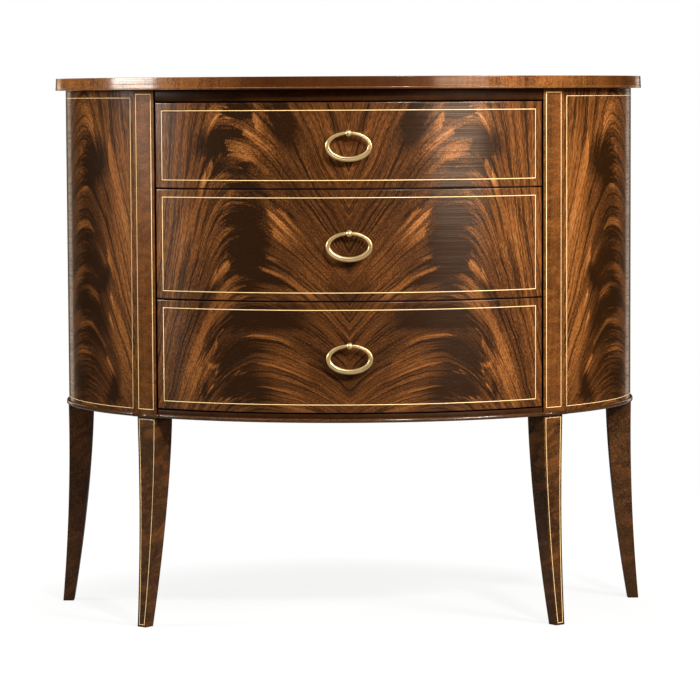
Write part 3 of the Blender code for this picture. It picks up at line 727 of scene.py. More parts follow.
@functools.cache
def effect(name):
    """The shared node group of this name, built once."""
    build, vector_inputs, float_inputs = EFFECTS[name]
    tree = bpy.data.node_groups.new(name, "ShaderNodeTree")
    for key in (*vector_inputs, *float_inputs):
        kind = "NodeSocketVector" if key in vector_inputs else "NodeSocketFloat"
        tree.interface.new_socket(name=key, in_out="INPUT", socket_type=kind)
    made = build(tree, tree.nodes.new("NodeGroupInput").outputs)
    for key, socket in made.items():
        kind = "NodeSocketVector" if socket.type == "VECTOR" else "NodeSocketFloat"
        tree.interface.new_socket(name=key, in_out="OUTPUT", socket_type=kind)
    set_inputs(tree, tree.nodes.new("NodeGroupOutput"), made)
    return tree


# Flow of each flame figure: the crest's place across, its lean, and the curls inside and outside it
DRAWER_FLOW = (0.174, 0.12, (5.3, 12.8))
PANEL_FLOW = (0.530, 0.0, (12.0, 5.0))
TOP_FLOW = (0.250, 0.0, (4.5, 6.0))

# Soft patches of the flame figure: centre across and up, half width, half height, turn in degrees,
# strength. Across is the length round the plan from the front's middle. Shadows are below zero.
# Tongues: tip across and up, length along the grain (inwards below zero), half width, strength.

DRAWER_PATCHES = (
    (0.110, 0.838, 0.024, 0.054, -26, -0.32),
    (0.182, 0.858, 0.040, 0.018, 0, -0.32),
    (0.220, 0.804, 0.048, 0.032, -16, -0.42),
    (0.198, 0.766, 0.056, 0.013, -6, -0.30),
    (0.170, 0.645, 0.042, 0.115, 0, -0.36),
    (0.128, 0.584, 0.036, 0.011, 14, -0.28),
    (0.146, 0.520, 0.084, 0.026, -4, -0.26),
    (0.192, 0.462, 0.060, 0.048, 0, -0.25),
    (0.176, 0.402, 0.060, 0.032, 0, -0.28),
    (0.245, 0.396, 0.014, 0.016, 0, -0.26),
    (0.275, 0.650, 0.034, 0.070, 24, 0.12),
    (0.060, 0.590, 0.050, 0.040, -40, 0.12),
    (0.272, 0.450, 0.026, 0.090, 16, 0.12),
    (0.032, 0.800, 0.030, 0.090, -20, 0.05),
    (0.184, 0.432, 0.006, 0.008, -60, 0.26),
    (0.178, 0.391, 0.016, 0.006, 10, 0.22),
    (0.229, 0.438, 0.022, 0.004, 46, 0.34),
    (0.213, 0.384, 0.010, 0.004, 60, 0.30),
    (0.310, 0.640, 0.030, 0.280, 6, 0.10),
    (0.000, 0.700, 0.200, 0.360, 0, -0.06),
)
DRAWER_TONGUES = (
    (0.199, 0.851, 0.130, 0.0034, 0.32),
    (0.206, 0.862, 0.150, 0.0080, 0.15),
    (0.158, 0.845, -0.032, 0.0105, 0.36),
    (0.173, 0.822, -0.080, 0.0060, 0.32),
    (0.205, 0.801, -0.056, 0.0085, 0.34),
    (0.196, 0.788, -0.090, 0.0055, 0.30),
    (0.228, 0.780, 0.055, 0.0110, 0.32),
    (0.240, 0.757, 0.060, 0.0110, 0.30),
    (0.178, 0.766, 0.050, 0.0050, 0.18),
    (0.121, 0.707, -0.090, 0.0055, 0.28),
    (0.129, 0.692, -0.080, 0.0070, 0.36),
    (0.134, 0.671, -0.070, 0.0110, 0.30),
    (0.138, 0.625, -0.036, 0.0040, 0.28),
    (0.154, 0.606, -0.090, 0.0050, 0.34),
    (0.165, 0.707, 0.160, 0.0028, 0.18),
    (0.185, 0.655, 0.060, 0.0070, 0.20),
    (0.203, 0.611, 0.060, 0.0110, 0.36),
    (0.224, 0.598, 0.040, 0.0080, 0.26),
    (0.171, 0.577, 0.036, 0.0050, 0.18),
    (0.205, 0.700, 0.260, 0.0060, -0.30),
    (0.290, 0.716, 0.240, 0.0100, -0.22),
    (0.166, 0.492, -0.120, 0.0060, 0.30),
    (0.155, 0.447, -0.110, 0.0050, 0.24),
    (0.150, 0.411, -0.080, 0.0045, 0.26),
    (0.190, 0.531, 0.060, 0.0040, 0.18),
    (0.212, 0.503, 0.034, 0.0035, 0.24),
    (0.222, 0.484, 0.056, 0.0110, 0.36),
    (0.239, 0.441, 0.050, 0.0045, 0.26),
    (0.228, 0.416, 0.064, 0.0060, 0.34),
    (0.266, 0.534, 0.220, 0.0070, -0.28),
)
PANEL_PATCHES = (
    (0.500, 0.775, 0.056, 0.044, 0, -0.32),
    (0.468, 0.575, 0.016, 0.030, 30, -0.24),
    (0.556, 0.550, 0.034, 0.022, 0, -0.26),
    (0.448, 0.390, 0.018, 0.050, 20, -0.26),
    (0.560, 0.400, 0.040, 0.040, 0, -0.22),
    (0.650, 0.600, 0.120, 0.360, 0, -0.16),
    (0.506, 0.560, 0.050, 0.240, -3, -0.24),
    (0.414, 0.620, 0.034, 0.300, 0, 0.13),
    (0.550, 0.600, 0.400, 0.600, 0, 0.03),
)
PANEL_TONGUES = (
    (0.449, 0.797, -0.090, 0.0240, 0.26),
    (0.461, 0.622, -0.060, 0.0150, 0.32),
    (0.452, 0.556, -0.050, 0.0110, 0.32),
    (0.457, 0.518, -0.050, 0.0110, 0.30),
    (0.464, 0.446, -0.050, 0.0110, 0.32),
    (0.496, 0.828, 0.080, 0.0100, 0.20),
    (0.520, 0.727, 0.080, 0.0045, 0.16),
    (0.505, 0.660, 0.090, 0.0090, 0.22),
    (0.466, 0.604, 0.130, 0.0080, 0.18),
    (0.485, 0.537, 0.110, 0.0100, 0.20),
    (0.500, 0.492, 0.080, 0.0070, 0.16),
    (0.466, 0.463, 0.120, 0.0090, 0.18),
    (0.455, 0.425, 0.110, 0.0060, 0.18),
)


def flame_colour(tree, flow_shape, patches, tongues):
    """Colour and height of the flame veneer, from the flow of its grain, its patches and its tongues."""
    axis, lean, curls = flow_shape
    veneer = veneer_coordinates(tree)
    inputs = {"Vector": veneer, "Axis": axis, "Lean": lean, "Wander": 0.018}
    inputs.update({"Inner Curl": curls[0], "Outer Curl": curls[1]})
    flow = grouped(tree, "Crotch flow", inputs)
    marks = grouped(tree, "Streaks along the flow", {key: flow[key] for key in ("Flow", "Steepness")})
    tooth = maths(tree, "MULTIPLY_ADD", marks["Grain"], 0.6, marks["Streaks"])
    tooth = maths(tree, "SUBTRACT", tooth, 0.8)
    shift = times(tree, flow["Direction"], maths(tree, "MULTIPLY", tooth, 0.03))
    ragged = vectors(tree, "ADD", flow["Face"], shift)
    tone = maths(tree, "MULTIPLY_ADD", marks["Bands"], 0.34, -0.045)
    for mark, share in (("Veins", -0.20), ("Streaks", 0.17), ("Grain", 0.17), ("Speckle", 0.15)):
        tone = maths(tree, "MULTIPLY_ADD", marks[mark], share, tone)
    for across, up, half_width, half_height, turn, strength in patches:
        inputs = {"Vector": ragged, "Centre": (across, up, 0), "Size": (half_width, half_height, 1)}
        inputs["Turn"] = math.radians(turn)
        tone = maths(tree, "MULTIPLY_ADD", grouped(tree, "Soft patch", inputs)["Mask"], strength, tone)
    for across, up, length, half_width, strength in tongues:
        beside, line, curl = flow_at(across, up, flow_shape)
        slope = 2 * curl * (beside + length / 4) * math.exp((up - FLOW_MIDDLE) / FLOW_STRETCH)
        reach = length / math.hypot(1, slope)
        inputs = {"Flow": flow["Flow"], "Tip": (beside, line, 0), "Size": (reach, half_width, 1)}
        inputs["Tooth"] = tooth
        tone = maths(tree, "MULTIPLY_ADD", grouped(tree, "Flame tongue", inputs)["Mask"], strength, tone)
    stops = ((0.14, "flame_shadow"), (0.36, "flame_brown"), (0.58, "flame_amber"), (0.88, "flame_glow"))
    share = spread(tree, tone, 0.15, 0.5, 0.12, 1.0)
    colour = flecked(tree, ramp(tree, tone, stops), marks["Speckle"], share)
    colour = mixed(tree, maths(tree, "MULTIPLY", marks["Pores"], 0.62), colour, "flame_shadow")
    return colour, grouped(tree, "Rubbed lacquer", {"Vector": veneer})["Height"]


def flecked(tree, colour, speckle, share):
    """The colour with fine pale flecks where the speckle is high, partly pale grain and partly painted
    glints, and dark flecks where it is low.
    """
    for end, most, fleck in ((1.0, 0.15, "fleck_pale_glint"), (0.0, 0.45, "fleck_deep")):
        amount = maths(tree, "MULTIPLY", spread(tree, speckle, 0.5, end, 0.0, most), share)
        colour = mixed(tree, amount, colour, fleck)
    return colour


def straight_colour(tree, vector, wood, fineness=1.0, flecks=0.0, mottled=0.0):
    """Colour and height of a wood with straight grain along the vector's Z."""
    dark = f"{wood}_dark"
    grain = grouped(tree, "Straight grain", {"Vector": vector, "Fineness": fineness})
    colour = mixed(tree, grain["Tone"], dark, f"{wood}_light")
    if mottled:
        colour = mixed(tree, maths(tree, "MULTIPLY", grain["Mottle"], mottled), colour, "flame_amber")
    if flecks:
        colour = flecked(tree, colour, grain["Speckle"], flecks)
    colour = mixed(tree, maths(tree, "MULTIPLY", grain["Pores"], 0.5), colour, dark)
    return colour, grouped(tree, "Rubbed lacquer", {"Vector": vector})["Height"]


def board_colour(tree, wood, rotation, fineness=0.8, flecks=0.0, mottled=0.0):
    """A wood whose grain the rotation lays along a board."""
    vector = turned_vector(tree, object_coordinates(tree), rotation)
    return straight_colour(tree, vector, wood, fineness, flecks, mottled)


def leg_colour(tree, mottled):
    """The legs' wood, which is darker towards the feet."""
    colour, height = board_colour(tree, "leg", ALONG_A_LEG, 0.8, 0.5, mottled)
    up = parts_of(tree, object_coordinates(tree))[2]
    return mixed(tree, spread(tree, up, 0.02, 0.30, 0.4, 0.0), colour, "leg_dark"), height


def band_colour(tree):
    """The band round the top, with its grain across it and painted shade in two stretches, its middle and
    its right end.
    """
    veneer = veneer_coordinates(tree)
    colour, height = straight_colour(tree, turned_vector(tree, veneer, ALONG_Y), "band", 0.8, 1.0)
    # Painted shade: the band's colour is mixed towards its dark grain over its middle and its right end.
    for along, half_width, share in ((-0.02, 0.32, 0.93), (0.66, 0.38, 0.84)):
        inputs = {"Vector": veneer, "Centre": (along, HEIGHT, 0), "Size": (half_width, 2, 1), "Turn": 0.0}
        darker = maths(tree, "MULTIPLY", grouped(tree, "Soft patch", inputs)["Mask"], share)
        colour = mixed(tree, darker, colour, "band_dark")
    return colour, height


def line_colour(tree, deep, pale):
    return mixed(tree, noise(tree, object_coordinates(tree), (160, 160, 160), 2, 0.5), deep, pale), None


def brass_colour(tree):
    vector = object_coordinates(tree)
    tarnish = noise(tree, vector, (60, 60, 60), 3, 0.6)
    return mixed(tree, tarnish, "brass_deep", "brass_light"), noise(tree, vector, (900, 900, 900), 2, 0.6)


def steel_colour(tree):
    tone = noise(tree, object_coordinates(tree), (300, 300, 300), 2, 0.6)
    dark = [0.7 * part for part in colour_named("steel")]
    return mixed(tree, tone, (*dark, 1), "steel"), tone


ALONG_X = (0, QUARTER, 0)
ALONG_Y = (QUARTER, 0, 0)
UPRIGHT = (0, 0, 0)
ALONG_A_LEG = (0, 0.45, 0)
BARE = {"roughness": 0.5, "coat": 0.0}
SATIN = {"coat": 0.03, "gloss": 0.3}
WAXED = {"coat": 0.2, "gloss": 0.3}

# Each finish's colour function, what it is given, and how the surface differs from full polish
FINISHES = {
    "flame_drawers": (flame_colour, (DRAWER_FLOW, DRAWER_PATCHES, DRAWER_TONGUES), {}),
    "flame_panels": (flame_colour, (PANEL_FLOW, PANEL_PATCHES, PANEL_TONGUES), {"coat": 0.5, "gloss": 0.12}),
    "flame_top": (flame_colour, (TOP_FLOW, (), ()), {"roughness": 0.55, **SATIN}),
    "plain_mahogany": (board_colour, ("plain", UPRIGHT, 1.0, 0.6, 0.3), {"coat": 0.01, "gloss": 0.3}),
    # The rails' darker colours hold painted shade under the top's overhang.
    "rail_mahogany": (board_colour, ("rail", ALONG_X, 1.0), {"coat": 0.04, "gloss": 0.3}),
    "bead_mahogany": (board_colour, ("leg", ALONG_X, 0.8, 0.5), {"gloss": 0.14}),
    "leg_mahogany": (leg_colour, (0.16,), WAXED),
    "front_leg_mahogany": (leg_colour, (0.34,), WAXED),
    "crossband": (band_colour, (), {"gloss": 0.13}),
    "satin_crossband": (band_colour, (), SATIN),
    "string_line": (line_colour, ("line_deep", "line_pale"), {}),
    "edge_line": (line_colour, ("band_dark", "edge_line"), {"gloss": 0.13}),
    "brass": (brass_colour, (), {"roughness": 0.34, "coat": 0.0, "metallic": 0.88}),
    "steel": (steel_colour, (), {"roughness": 0.35, "coat": 0.0, "metallic": 1}),
    "lining_along": (board_colour, ("lining", ALONG_Y), BARE),
    "lining_across": (board_colour, ("lining", ALONG_X), BARE),
    "board_across": (board_colour, ("board", ALONG_X), BARE),
    "board_upright": (board_colour, ("board", UPRIGHT), BARE),
}


def coated(name, colour_of, given, roughness=0.4, coat=1.0, gloss=0.2, metallic=0.0):
    """A material whose colour and surface height the function builds, under a coat of lacquer."""
    inputs = {"Roughness": roughness, "IOR": 1.5, "Specular IOR Level": 0.06 if coat else 0.5}
    inputs.update({"Coat Weight": coat, "Coat Roughness": gloss, "Metallic": metallic})
    material, tree, shader = new_material(name, inputs)
    colour, height = colour_of(tree, *given)
    set_inputs(tree, shader, {"Base Color": colour})
    if height:
        bump = place(tree, "ShaderNodeBump", {"Height": height, "Strength": 0.35, "Distance": 0.00012})
        set_inputs(tree, shader, {"Normal": bump.outputs[0]})
    if height and coat >= 0.5:
        set_inputs(tree, shader, {"Coat Weight": spread(tree, height, 0.4, 0.6, 0.4 * coat, coat)})
    return material


@functools.cache
def finish(name):
    """The material of this finish, built once."""
    colour_of, given, surface = FINISHES[name]
    return coated(name, colour_of, given, **surface)


# Pieces

# Steps round the whole of the top's oval, how squarely its flat faces look up or down, how sharp the
# rims that get rounded are, and the number of corners that only its broad faces exceed
TOP_STEPS = 360
FLAT = 0.999
RIM_ANGLE = math.radians(60)
FEW_CORNERS = 8


def is_field(face, up):
    """Whether this is one of the top's broad flat faces, the upper one for 1 and the lower one for -1."""
    return len(face.verts) > FEW_CORNERS and up * face.normal.z > FLAT


def foot_of(point):
    """The angle and the distance out of the body's ellipse of a point near it."""
    t = math.atan2(point.x / HALF_WIDTH, (BACK_Y - point.y) / DEPTH)
    for _ in range(FOOT_ROUNDS):
        normal = normal_at(t)
        tangent = Vector((-normal.y, normal.x))
        along = (Vector((point.x, point.y)) - plan(t)).dot(tangent)
        t += along / math.hypot(HALF_WIDTH * math.cos(t), DEPTH * math.sin(t))
    return t, (Vector((point.x, point.y)) - plan(t)).dot(normal_at(t))


class DEMILUNE_OT_top(bpy.types.Operator):
    """Builds the half-oval top with its banded edge and the line in it"""

    bl_idname = "demilune.top"
    bl_label = "Top"

    def execute(self, context):
        sizes = context.scene.demilune_sizes
        bm = bmesh.new()
        bmesh.ops.create_circle(bm, segments=TOP_STEPS, radius=1, cap_ends=True)
        geometry = bm.verts[:] + bm.edges[:] + bm.faces[:]
        cut = {"plane_co": (0, 0, 0), "plane_no": (0, 1, 0), "dist": 1e-5, "clear_outer": True}
        bmesh.ops.bisect_plane(bm, geom=geometry, **cut)
        for vert in bm.verts:
            point = plan(math.atan2(vert.co.x, -vert.co.y), OVERHANG - 2 * sizes.line_proud)
            vert.co = (point.x, point.y, UNDERSIDE)
        for vert in extruded(bm, bm.faces[:], (0, 0, HEIGHT - UNDERSIDE)):
            if vert.co.y < BACK_Y - FIT:
                vert.co.xy = vert.co.xy - sizes.edge_lean * normal_at(foot_of(vert.co)[0])
            else:
                vert.co.x -= math.copysign(sizes.edge_lean, vert.co.x)
        bm.normal_update()
        rims = [edge for edge in bm.edges if edge.calc_face_angle() > RIM_ANGLE]
        round_edges(bm, sizes.top_round, rims, 3)
        score(bm, 2, (UNDERSIDE + SUPPORT, HEIGHT - SUPPORT))
        bm.normal_update()
        for face in [face for face in bm.faces if abs(face.normal.z) > FLAT]:
            bmesh.ops.inset_region(bm, faces=[face], thickness=SUPPORT)
        bm.normal_update()
        field = [face for face in bm.faces if is_field(face, 1)]
        bmesh.ops.inset_region(bm, faces=field, thickness=SUPPORT)
        inner = OVERHANG - sizes.crossband_width
        corner = solve(lambda t: plan(t, inner).y, BACK_Y - sizes.crossband_width)
        for vert in field[0].verts:
            t = foot_of(vert.co)[0]
            point = plan(math.copysign(min(abs(t), corner), t), inner)
            vert.co = (point.x, point.y, HEIGHT)
        bmesh.ops.remove_doubles(bm, verts=field[0].verts, dist=FIT / 10)
        field = [face for face in bm.faces if is_field(face, 1)]
        layer = bm.loops.layers.uv.new(UV_NAME)
        for face in bm.faces:
            middle = face in field
            under = is_field(face, -1)
            face.material_index = 1 if middle else 2 if under else 3 if face.normal.z > FLAT else 0
            for loop in face.loops:
                co = loop.vert.co
                if middle:
                    loop[layer].uv = (co.x, co.y)
                else:
                    t, out = foot_of(co)
                    loop[layer].uv = (length_at(t), co.z - OVERHANG + out)
        finishes = ["crossband", "flame_top", "board_across", "satin_crossband"]
        add_piece("half_oval_top", bm, finishes, ["top"])
        reach = both_ways(QUARTER - OVERHANG / DEPTH)
        ends = [length_at(t) for t in reach]
        low = UNDERSIDE + sizes.top_line_rise
        line = straight_board(ends, (-OVERHANG, -OVERHANG + sizes.line_depth), (low, low + sizes.line_width))
        score_evenly(line, 0, COLUMN)
        bend(line, ends, lambda out: reach)
        add_piece("top_string_line", line, ["edge_line"], ["top_line"])
        return {"FINISHED"}


class DEMILUNE_OT_rails(bpy.types.Operator):
    """Builds the curved rails above and below the drawers"""

    bl_idname = "demilune.rails"
    bl_label = "Rails"

    def execute(self, context):
        half = DRAWER_HALF_WIDTH + DRAWER_END_GAP - FIT
        rails = (("frieze_rail", "top_rail", TOP_RAIL_DEPTH), ("lower_rail", "bottom_rail", FRONT_THICKNESS))

        def angles(out):
            return both_ways(t_at_x(half, out))

        for name, node, depth in rails:
            add_curved_board(name, node, depth, angles, ["rail_mahogany"])
        return {"FINISHED"}


class DEMILUNE_OT_side_panels(bpy.types.Operator):
    """Builds the curved side panels in flame veneer, each with its frame of line"""

    bl_idname = "demilune.side_panels"
    bl_label = "Side panels"

    def execute(self, context):
        sizes = context.scene.demilune_sizes
        edge = STILE_WIDTH / 2 + FIT
        start = length_at(t_at_across(edge)) + sizes.panel_line_side_margin
        stop = LENGTHS[-1] - sizes.drawer_line_margin
        finishes = ["flame_panels", "board_upright"]
        for name, side in SIDES:

            def angles(out):
                return side * t_at_across(edge, out), side * QUARTER

            node = f"{name}_side_panel"
            add_curved_board(f"{name}_flame_panel", node, PANEL_THICKNESS, angles, finishes)
            limits = sorted((side * start, side * stop))
            line = f"{name}_panel_string_line"
            add_curved_line(line, f"{name}_side_line", limits, node, sizes.fine_line_width)
        return {"FINISHED"}


class DEMILUNE_OT_stiles(bpy.types.Operator):
    """Builds the stiles beside the drawers, each with its frame of line"""

    bl_idname = "demilune.stiles"
    bl_label = "Stiles"

    def execute(self, context):
        sizes = context.scene.demilune_sizes
        front = stile_point(-STILE_WIDTH / 2, STILE_PROUD)
        rear = stile_point(STILE_WIDTH / 2, -STILE_DEPTH)
        outline = [front, stile_point(STILE_WIDTH / 2, STILE_PROUD), rear, Vector((front.x, rear.y))]
        inside = sizes.stile_line_margin
        half = STILE_WIDTH / 2 - inside
        for name, side in SIDES:
            low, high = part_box(f"{name}_stile")
            bm = prism([Vector((side * point.x, point.y)) for point in outline], low.z, high.z)
            round_edges(bm, sizes.edge_round)
            add_piece(f"{name}_stile_post", bm, ["plain_mahogany"], [f"{name}_stile"])
            heights = (LEG_HEIGHT + BEAD_HEIGHT + inside, high.z - inside)
            proud = STILE_PROUD + sizes.line_proud
            depth = sizes.line_depth - STILE_PROUD
            line = frame_strip((-half, half), heights, sizes.line_width, proud, depth)
            to_stile(line, side)
            add_line(f"{name}_stile_string_line", line, f"{name}_stile_line")
        return {"FINISHED"}


# Segments that round the bead's nose
NOSE_SEGMENTS = 6


class DEMILUNE_OT_beads(bpy.types.Operator):
    """Builds the bead along the lower edge, which steps out round the stiles"""

    bl_idname = "demilune.beads"
    bl_label = "Beads"

    def execute(self, context):
        def front_angles(out):
            return both_ways(t_at_across(-STILE_WIDTH / 2 - out - FIT, out))

        self.add_curved("front_cock_bead", "front_bead", front_angles)
        for name, side in SIDES:

            def side_angles(out):
                return side * t_at_across(STILE_WIDTH / 2 + out + FIT, out), side * QUARTER

            self.add_curved(f"{name}_panel_cock_bead", f"{name}_side_bead", side_angles)
            self.add_round_stile(name, side)
        return {"FINISHED"}

    def add_curved(self, name, node, angles):
        ends = [length_at(t) for t in angles(FIT)]
        bm = straight_board(sorted(ends), (-BEAD_PROJECTION, -FIT), (LEG_HEIGHT, LEG_HEIGHT + BEAD_HEIGHT))
        nose = []
        for edge in bm.edges:
            if all(vert.co.y < -2 * FIT and vert.co.z > LEG_HEIGHT + FIT for vert in edge.verts):
                nose.append(edge)
        round_edges(bm, BEAD_PROJECTION - 2 * FIT, nose, NOSE_SEGMENTS)
        score_evenly(bm, 0, COLUMN)
        bend(bm, ends, angles)
        add_piece(name, bm, ["bead_mahogany"], [node])

    def add_round_stile(self, name, side):
        outer = STILE_WIDTH / 2 + BEAD_PROJECTION
        inner = STILE_WIDTH / 2 + FIT
        face = STILE_PROUD + FIT
        front = STILE_PROUD + BEAD_PROJECTION
        tail = -4 * FIT
        corners = [(-outer, tail), (-outer, front), (outer, front), (outer, tail)]
        corners += [(inner, tail), (inner, face), (-inner, face), (-inner, tail)]
        outline = [Vector((across, -out)) for across, out in corners]
        bm = prism(outline, LEG_HEIGHT, LEG_HEIGHT + BEAD_HEIGHT)
        nose = []
        for edge in bm.edges:
            first, second = (vert.co for vert in edge.verts)
            raised = min(first.z, second.z) > LEG_HEIGHT + FIT
            at_front = max(first.y, second.y) < -STILE_PROUD - 2 * FIT
            at_side = min(abs(first.x), abs(second.x)) > inner + FIT
            if raised and (at_front or at_side):
                nose.append(edge)
        round_edges(bm, BEAD_PROJECTION - 2 * FIT, nose, NOSE_SEGMENTS)
        to_stile(bm, side)
        add_piece(f"{name}_stile_cock_bead", bm, ["bead_mahogany"], [f"{name}_stile_bead"])


def leg_width(height):
    drop = 1 - height / (LEG_HEIGHT - FIT)
    return LEG_TOP_WIDTH - (LEG_TOP_WIDTH - LEG_FOOT_WIDTH) * drop**LEG_TAPER_POWER


def sweep_leg(bm, side, top_centre, outward, sweep):
    """Tapers and sweeps a straight leg that stands at the origin. Its X is across and its -Y outward."""
    across = Vector((-outward.y, outward.x))
    for vert in bm.verts:
        height = min(max(vert.co.z, 0.0), LEG_HEIGHT - FIT)
        drop = 1 - height / (LEG_HEIGHT - FIT)
        centre = top_centre + outward * sweep * drop**LEG_SWEEP_POWER
        shrink = (LEG_TOP_WIDTH - leg_width(height)) / 2
        moved = [math.copysign(max(abs(part) - shrink, 0.0), part) for part in (vert.co.x, -vert.co.y)]
        point = centre + moved[0] * across + moved[1] * outward
        vert.co = (side * point.x, point.y, vert.co.z)


class DEMILUNE_OT_legs(bpy.types.Operator):
    """Builds the four swept legs, and the frames of line on the front ones"""

    bl_idname = "demilune.legs"
    bl_label = "Legs"

    def execute(self, context):
        sizes = context.scene.demilune_sizes
        half = LEG_TOP_WIDTH / 2
        front_centre = stile_point(0, STILE_PROUD - LEG_SET_BACK - half)
        back_centre = Vector((HALF_WIDTH - LEG_SET_BACK - half, BACK_Y - half))
        front_sweep = (front_centre, STILE_NORMAL, FRONT_LEG_SWEEP)
        back_sweep = (back_centre, Vector((1, 0)), BACK_LEG_SWEEP)
        inside = sizes.leg_line_margin
        across = (inside - half, half - inside)
        heights = (inside, LEG_HEIGHT - FIT - inside)
        proud = half + sizes.line_proud
        for name, side in SIDES:
            for end, sweep, wood in (
                ("front", front_sweep, "front_leg_mahogany"),
                ("back", back_sweep, "leg_mahogany"),
            ):
                leg = straight_board((-half, half), (-half, half), (0, LEG_HEIGHT - FIT))
                round_edges(leg, sizes.leg_round)
                score_evenly(leg, 2, ROW)
                for axis in (0, 1):
                    score(leg, axis, (SUPPORT - half, half - SUPPORT))
                sweep_leg(leg, side, *sweep)
                node = f"{name}_{end}_leg"
                add_piece(f"{name}_{end}_swept_leg", leg, [wood], [node])
            line = frame_strip(across, heights, sizes.fine_line_width, proud, sizes.line_depth - half)
            score_evenly(line, 2, ROW)
            sweep_leg(line, side, *front_sweep)
            add_line(f"{name}_leg_string_line", line, f"{name}_leg_line")
        return {"FINISHED"}


class DEMILUNE_OT_drawer_fronts(bpy.types.Operator):
    """Builds the bowed drawer fronts in flame veneer, each with its frame of line"""

    bl_idname = "demilune.drawer_fronts"
    bl_label = "Drawer fronts"

    def execute(self, context):
        sizes = context.scene.demilune_sizes

        def angles(out):
            return both_ways(t_at_x(DRAWER_HALF_WIDTH, out))

        stop = length_at(angles(0.0)[1]) - sizes.drawer_line_margin
        finishes = ["flame_drawers", "lining_across"]
        for name in DRAWERS:
            body = f"{name}_drawer"
            node = f"{name}_drawer_front"
            add_curved_board(f"{name}_flame_front", node, FRONT_THICKNESS, angles, finishes, body)
            line = f"{name}_front_string_line"
            add_curved_line(line, f"{name}_drawer_line", both_ways(stop), node, sizes.line_width, body)
        return {"FINISHED"}


def ring_radius(drop):
    """Half the ring's thickness, from the ball at 0 to its lowest point at 1."""
    if drop < RING_SIDE_DROP_SHARE:
        share = drop / RING_SIDE_DROP_SHARE
        return RING_RADIUS_AT_BALL + (RING_RADIUS_AT_SIDE - RING_RADIUS_AT_BALL) * share
    share = (drop - RING_SIDE_DROP_SHARE) / (1 - RING_SIDE_DROP_SHARE)
    return RING_RADIUS_AT_SIDE + (RING_RADIUS_AT_FOOT - RING_RADIUS_AT_SIDE) * share


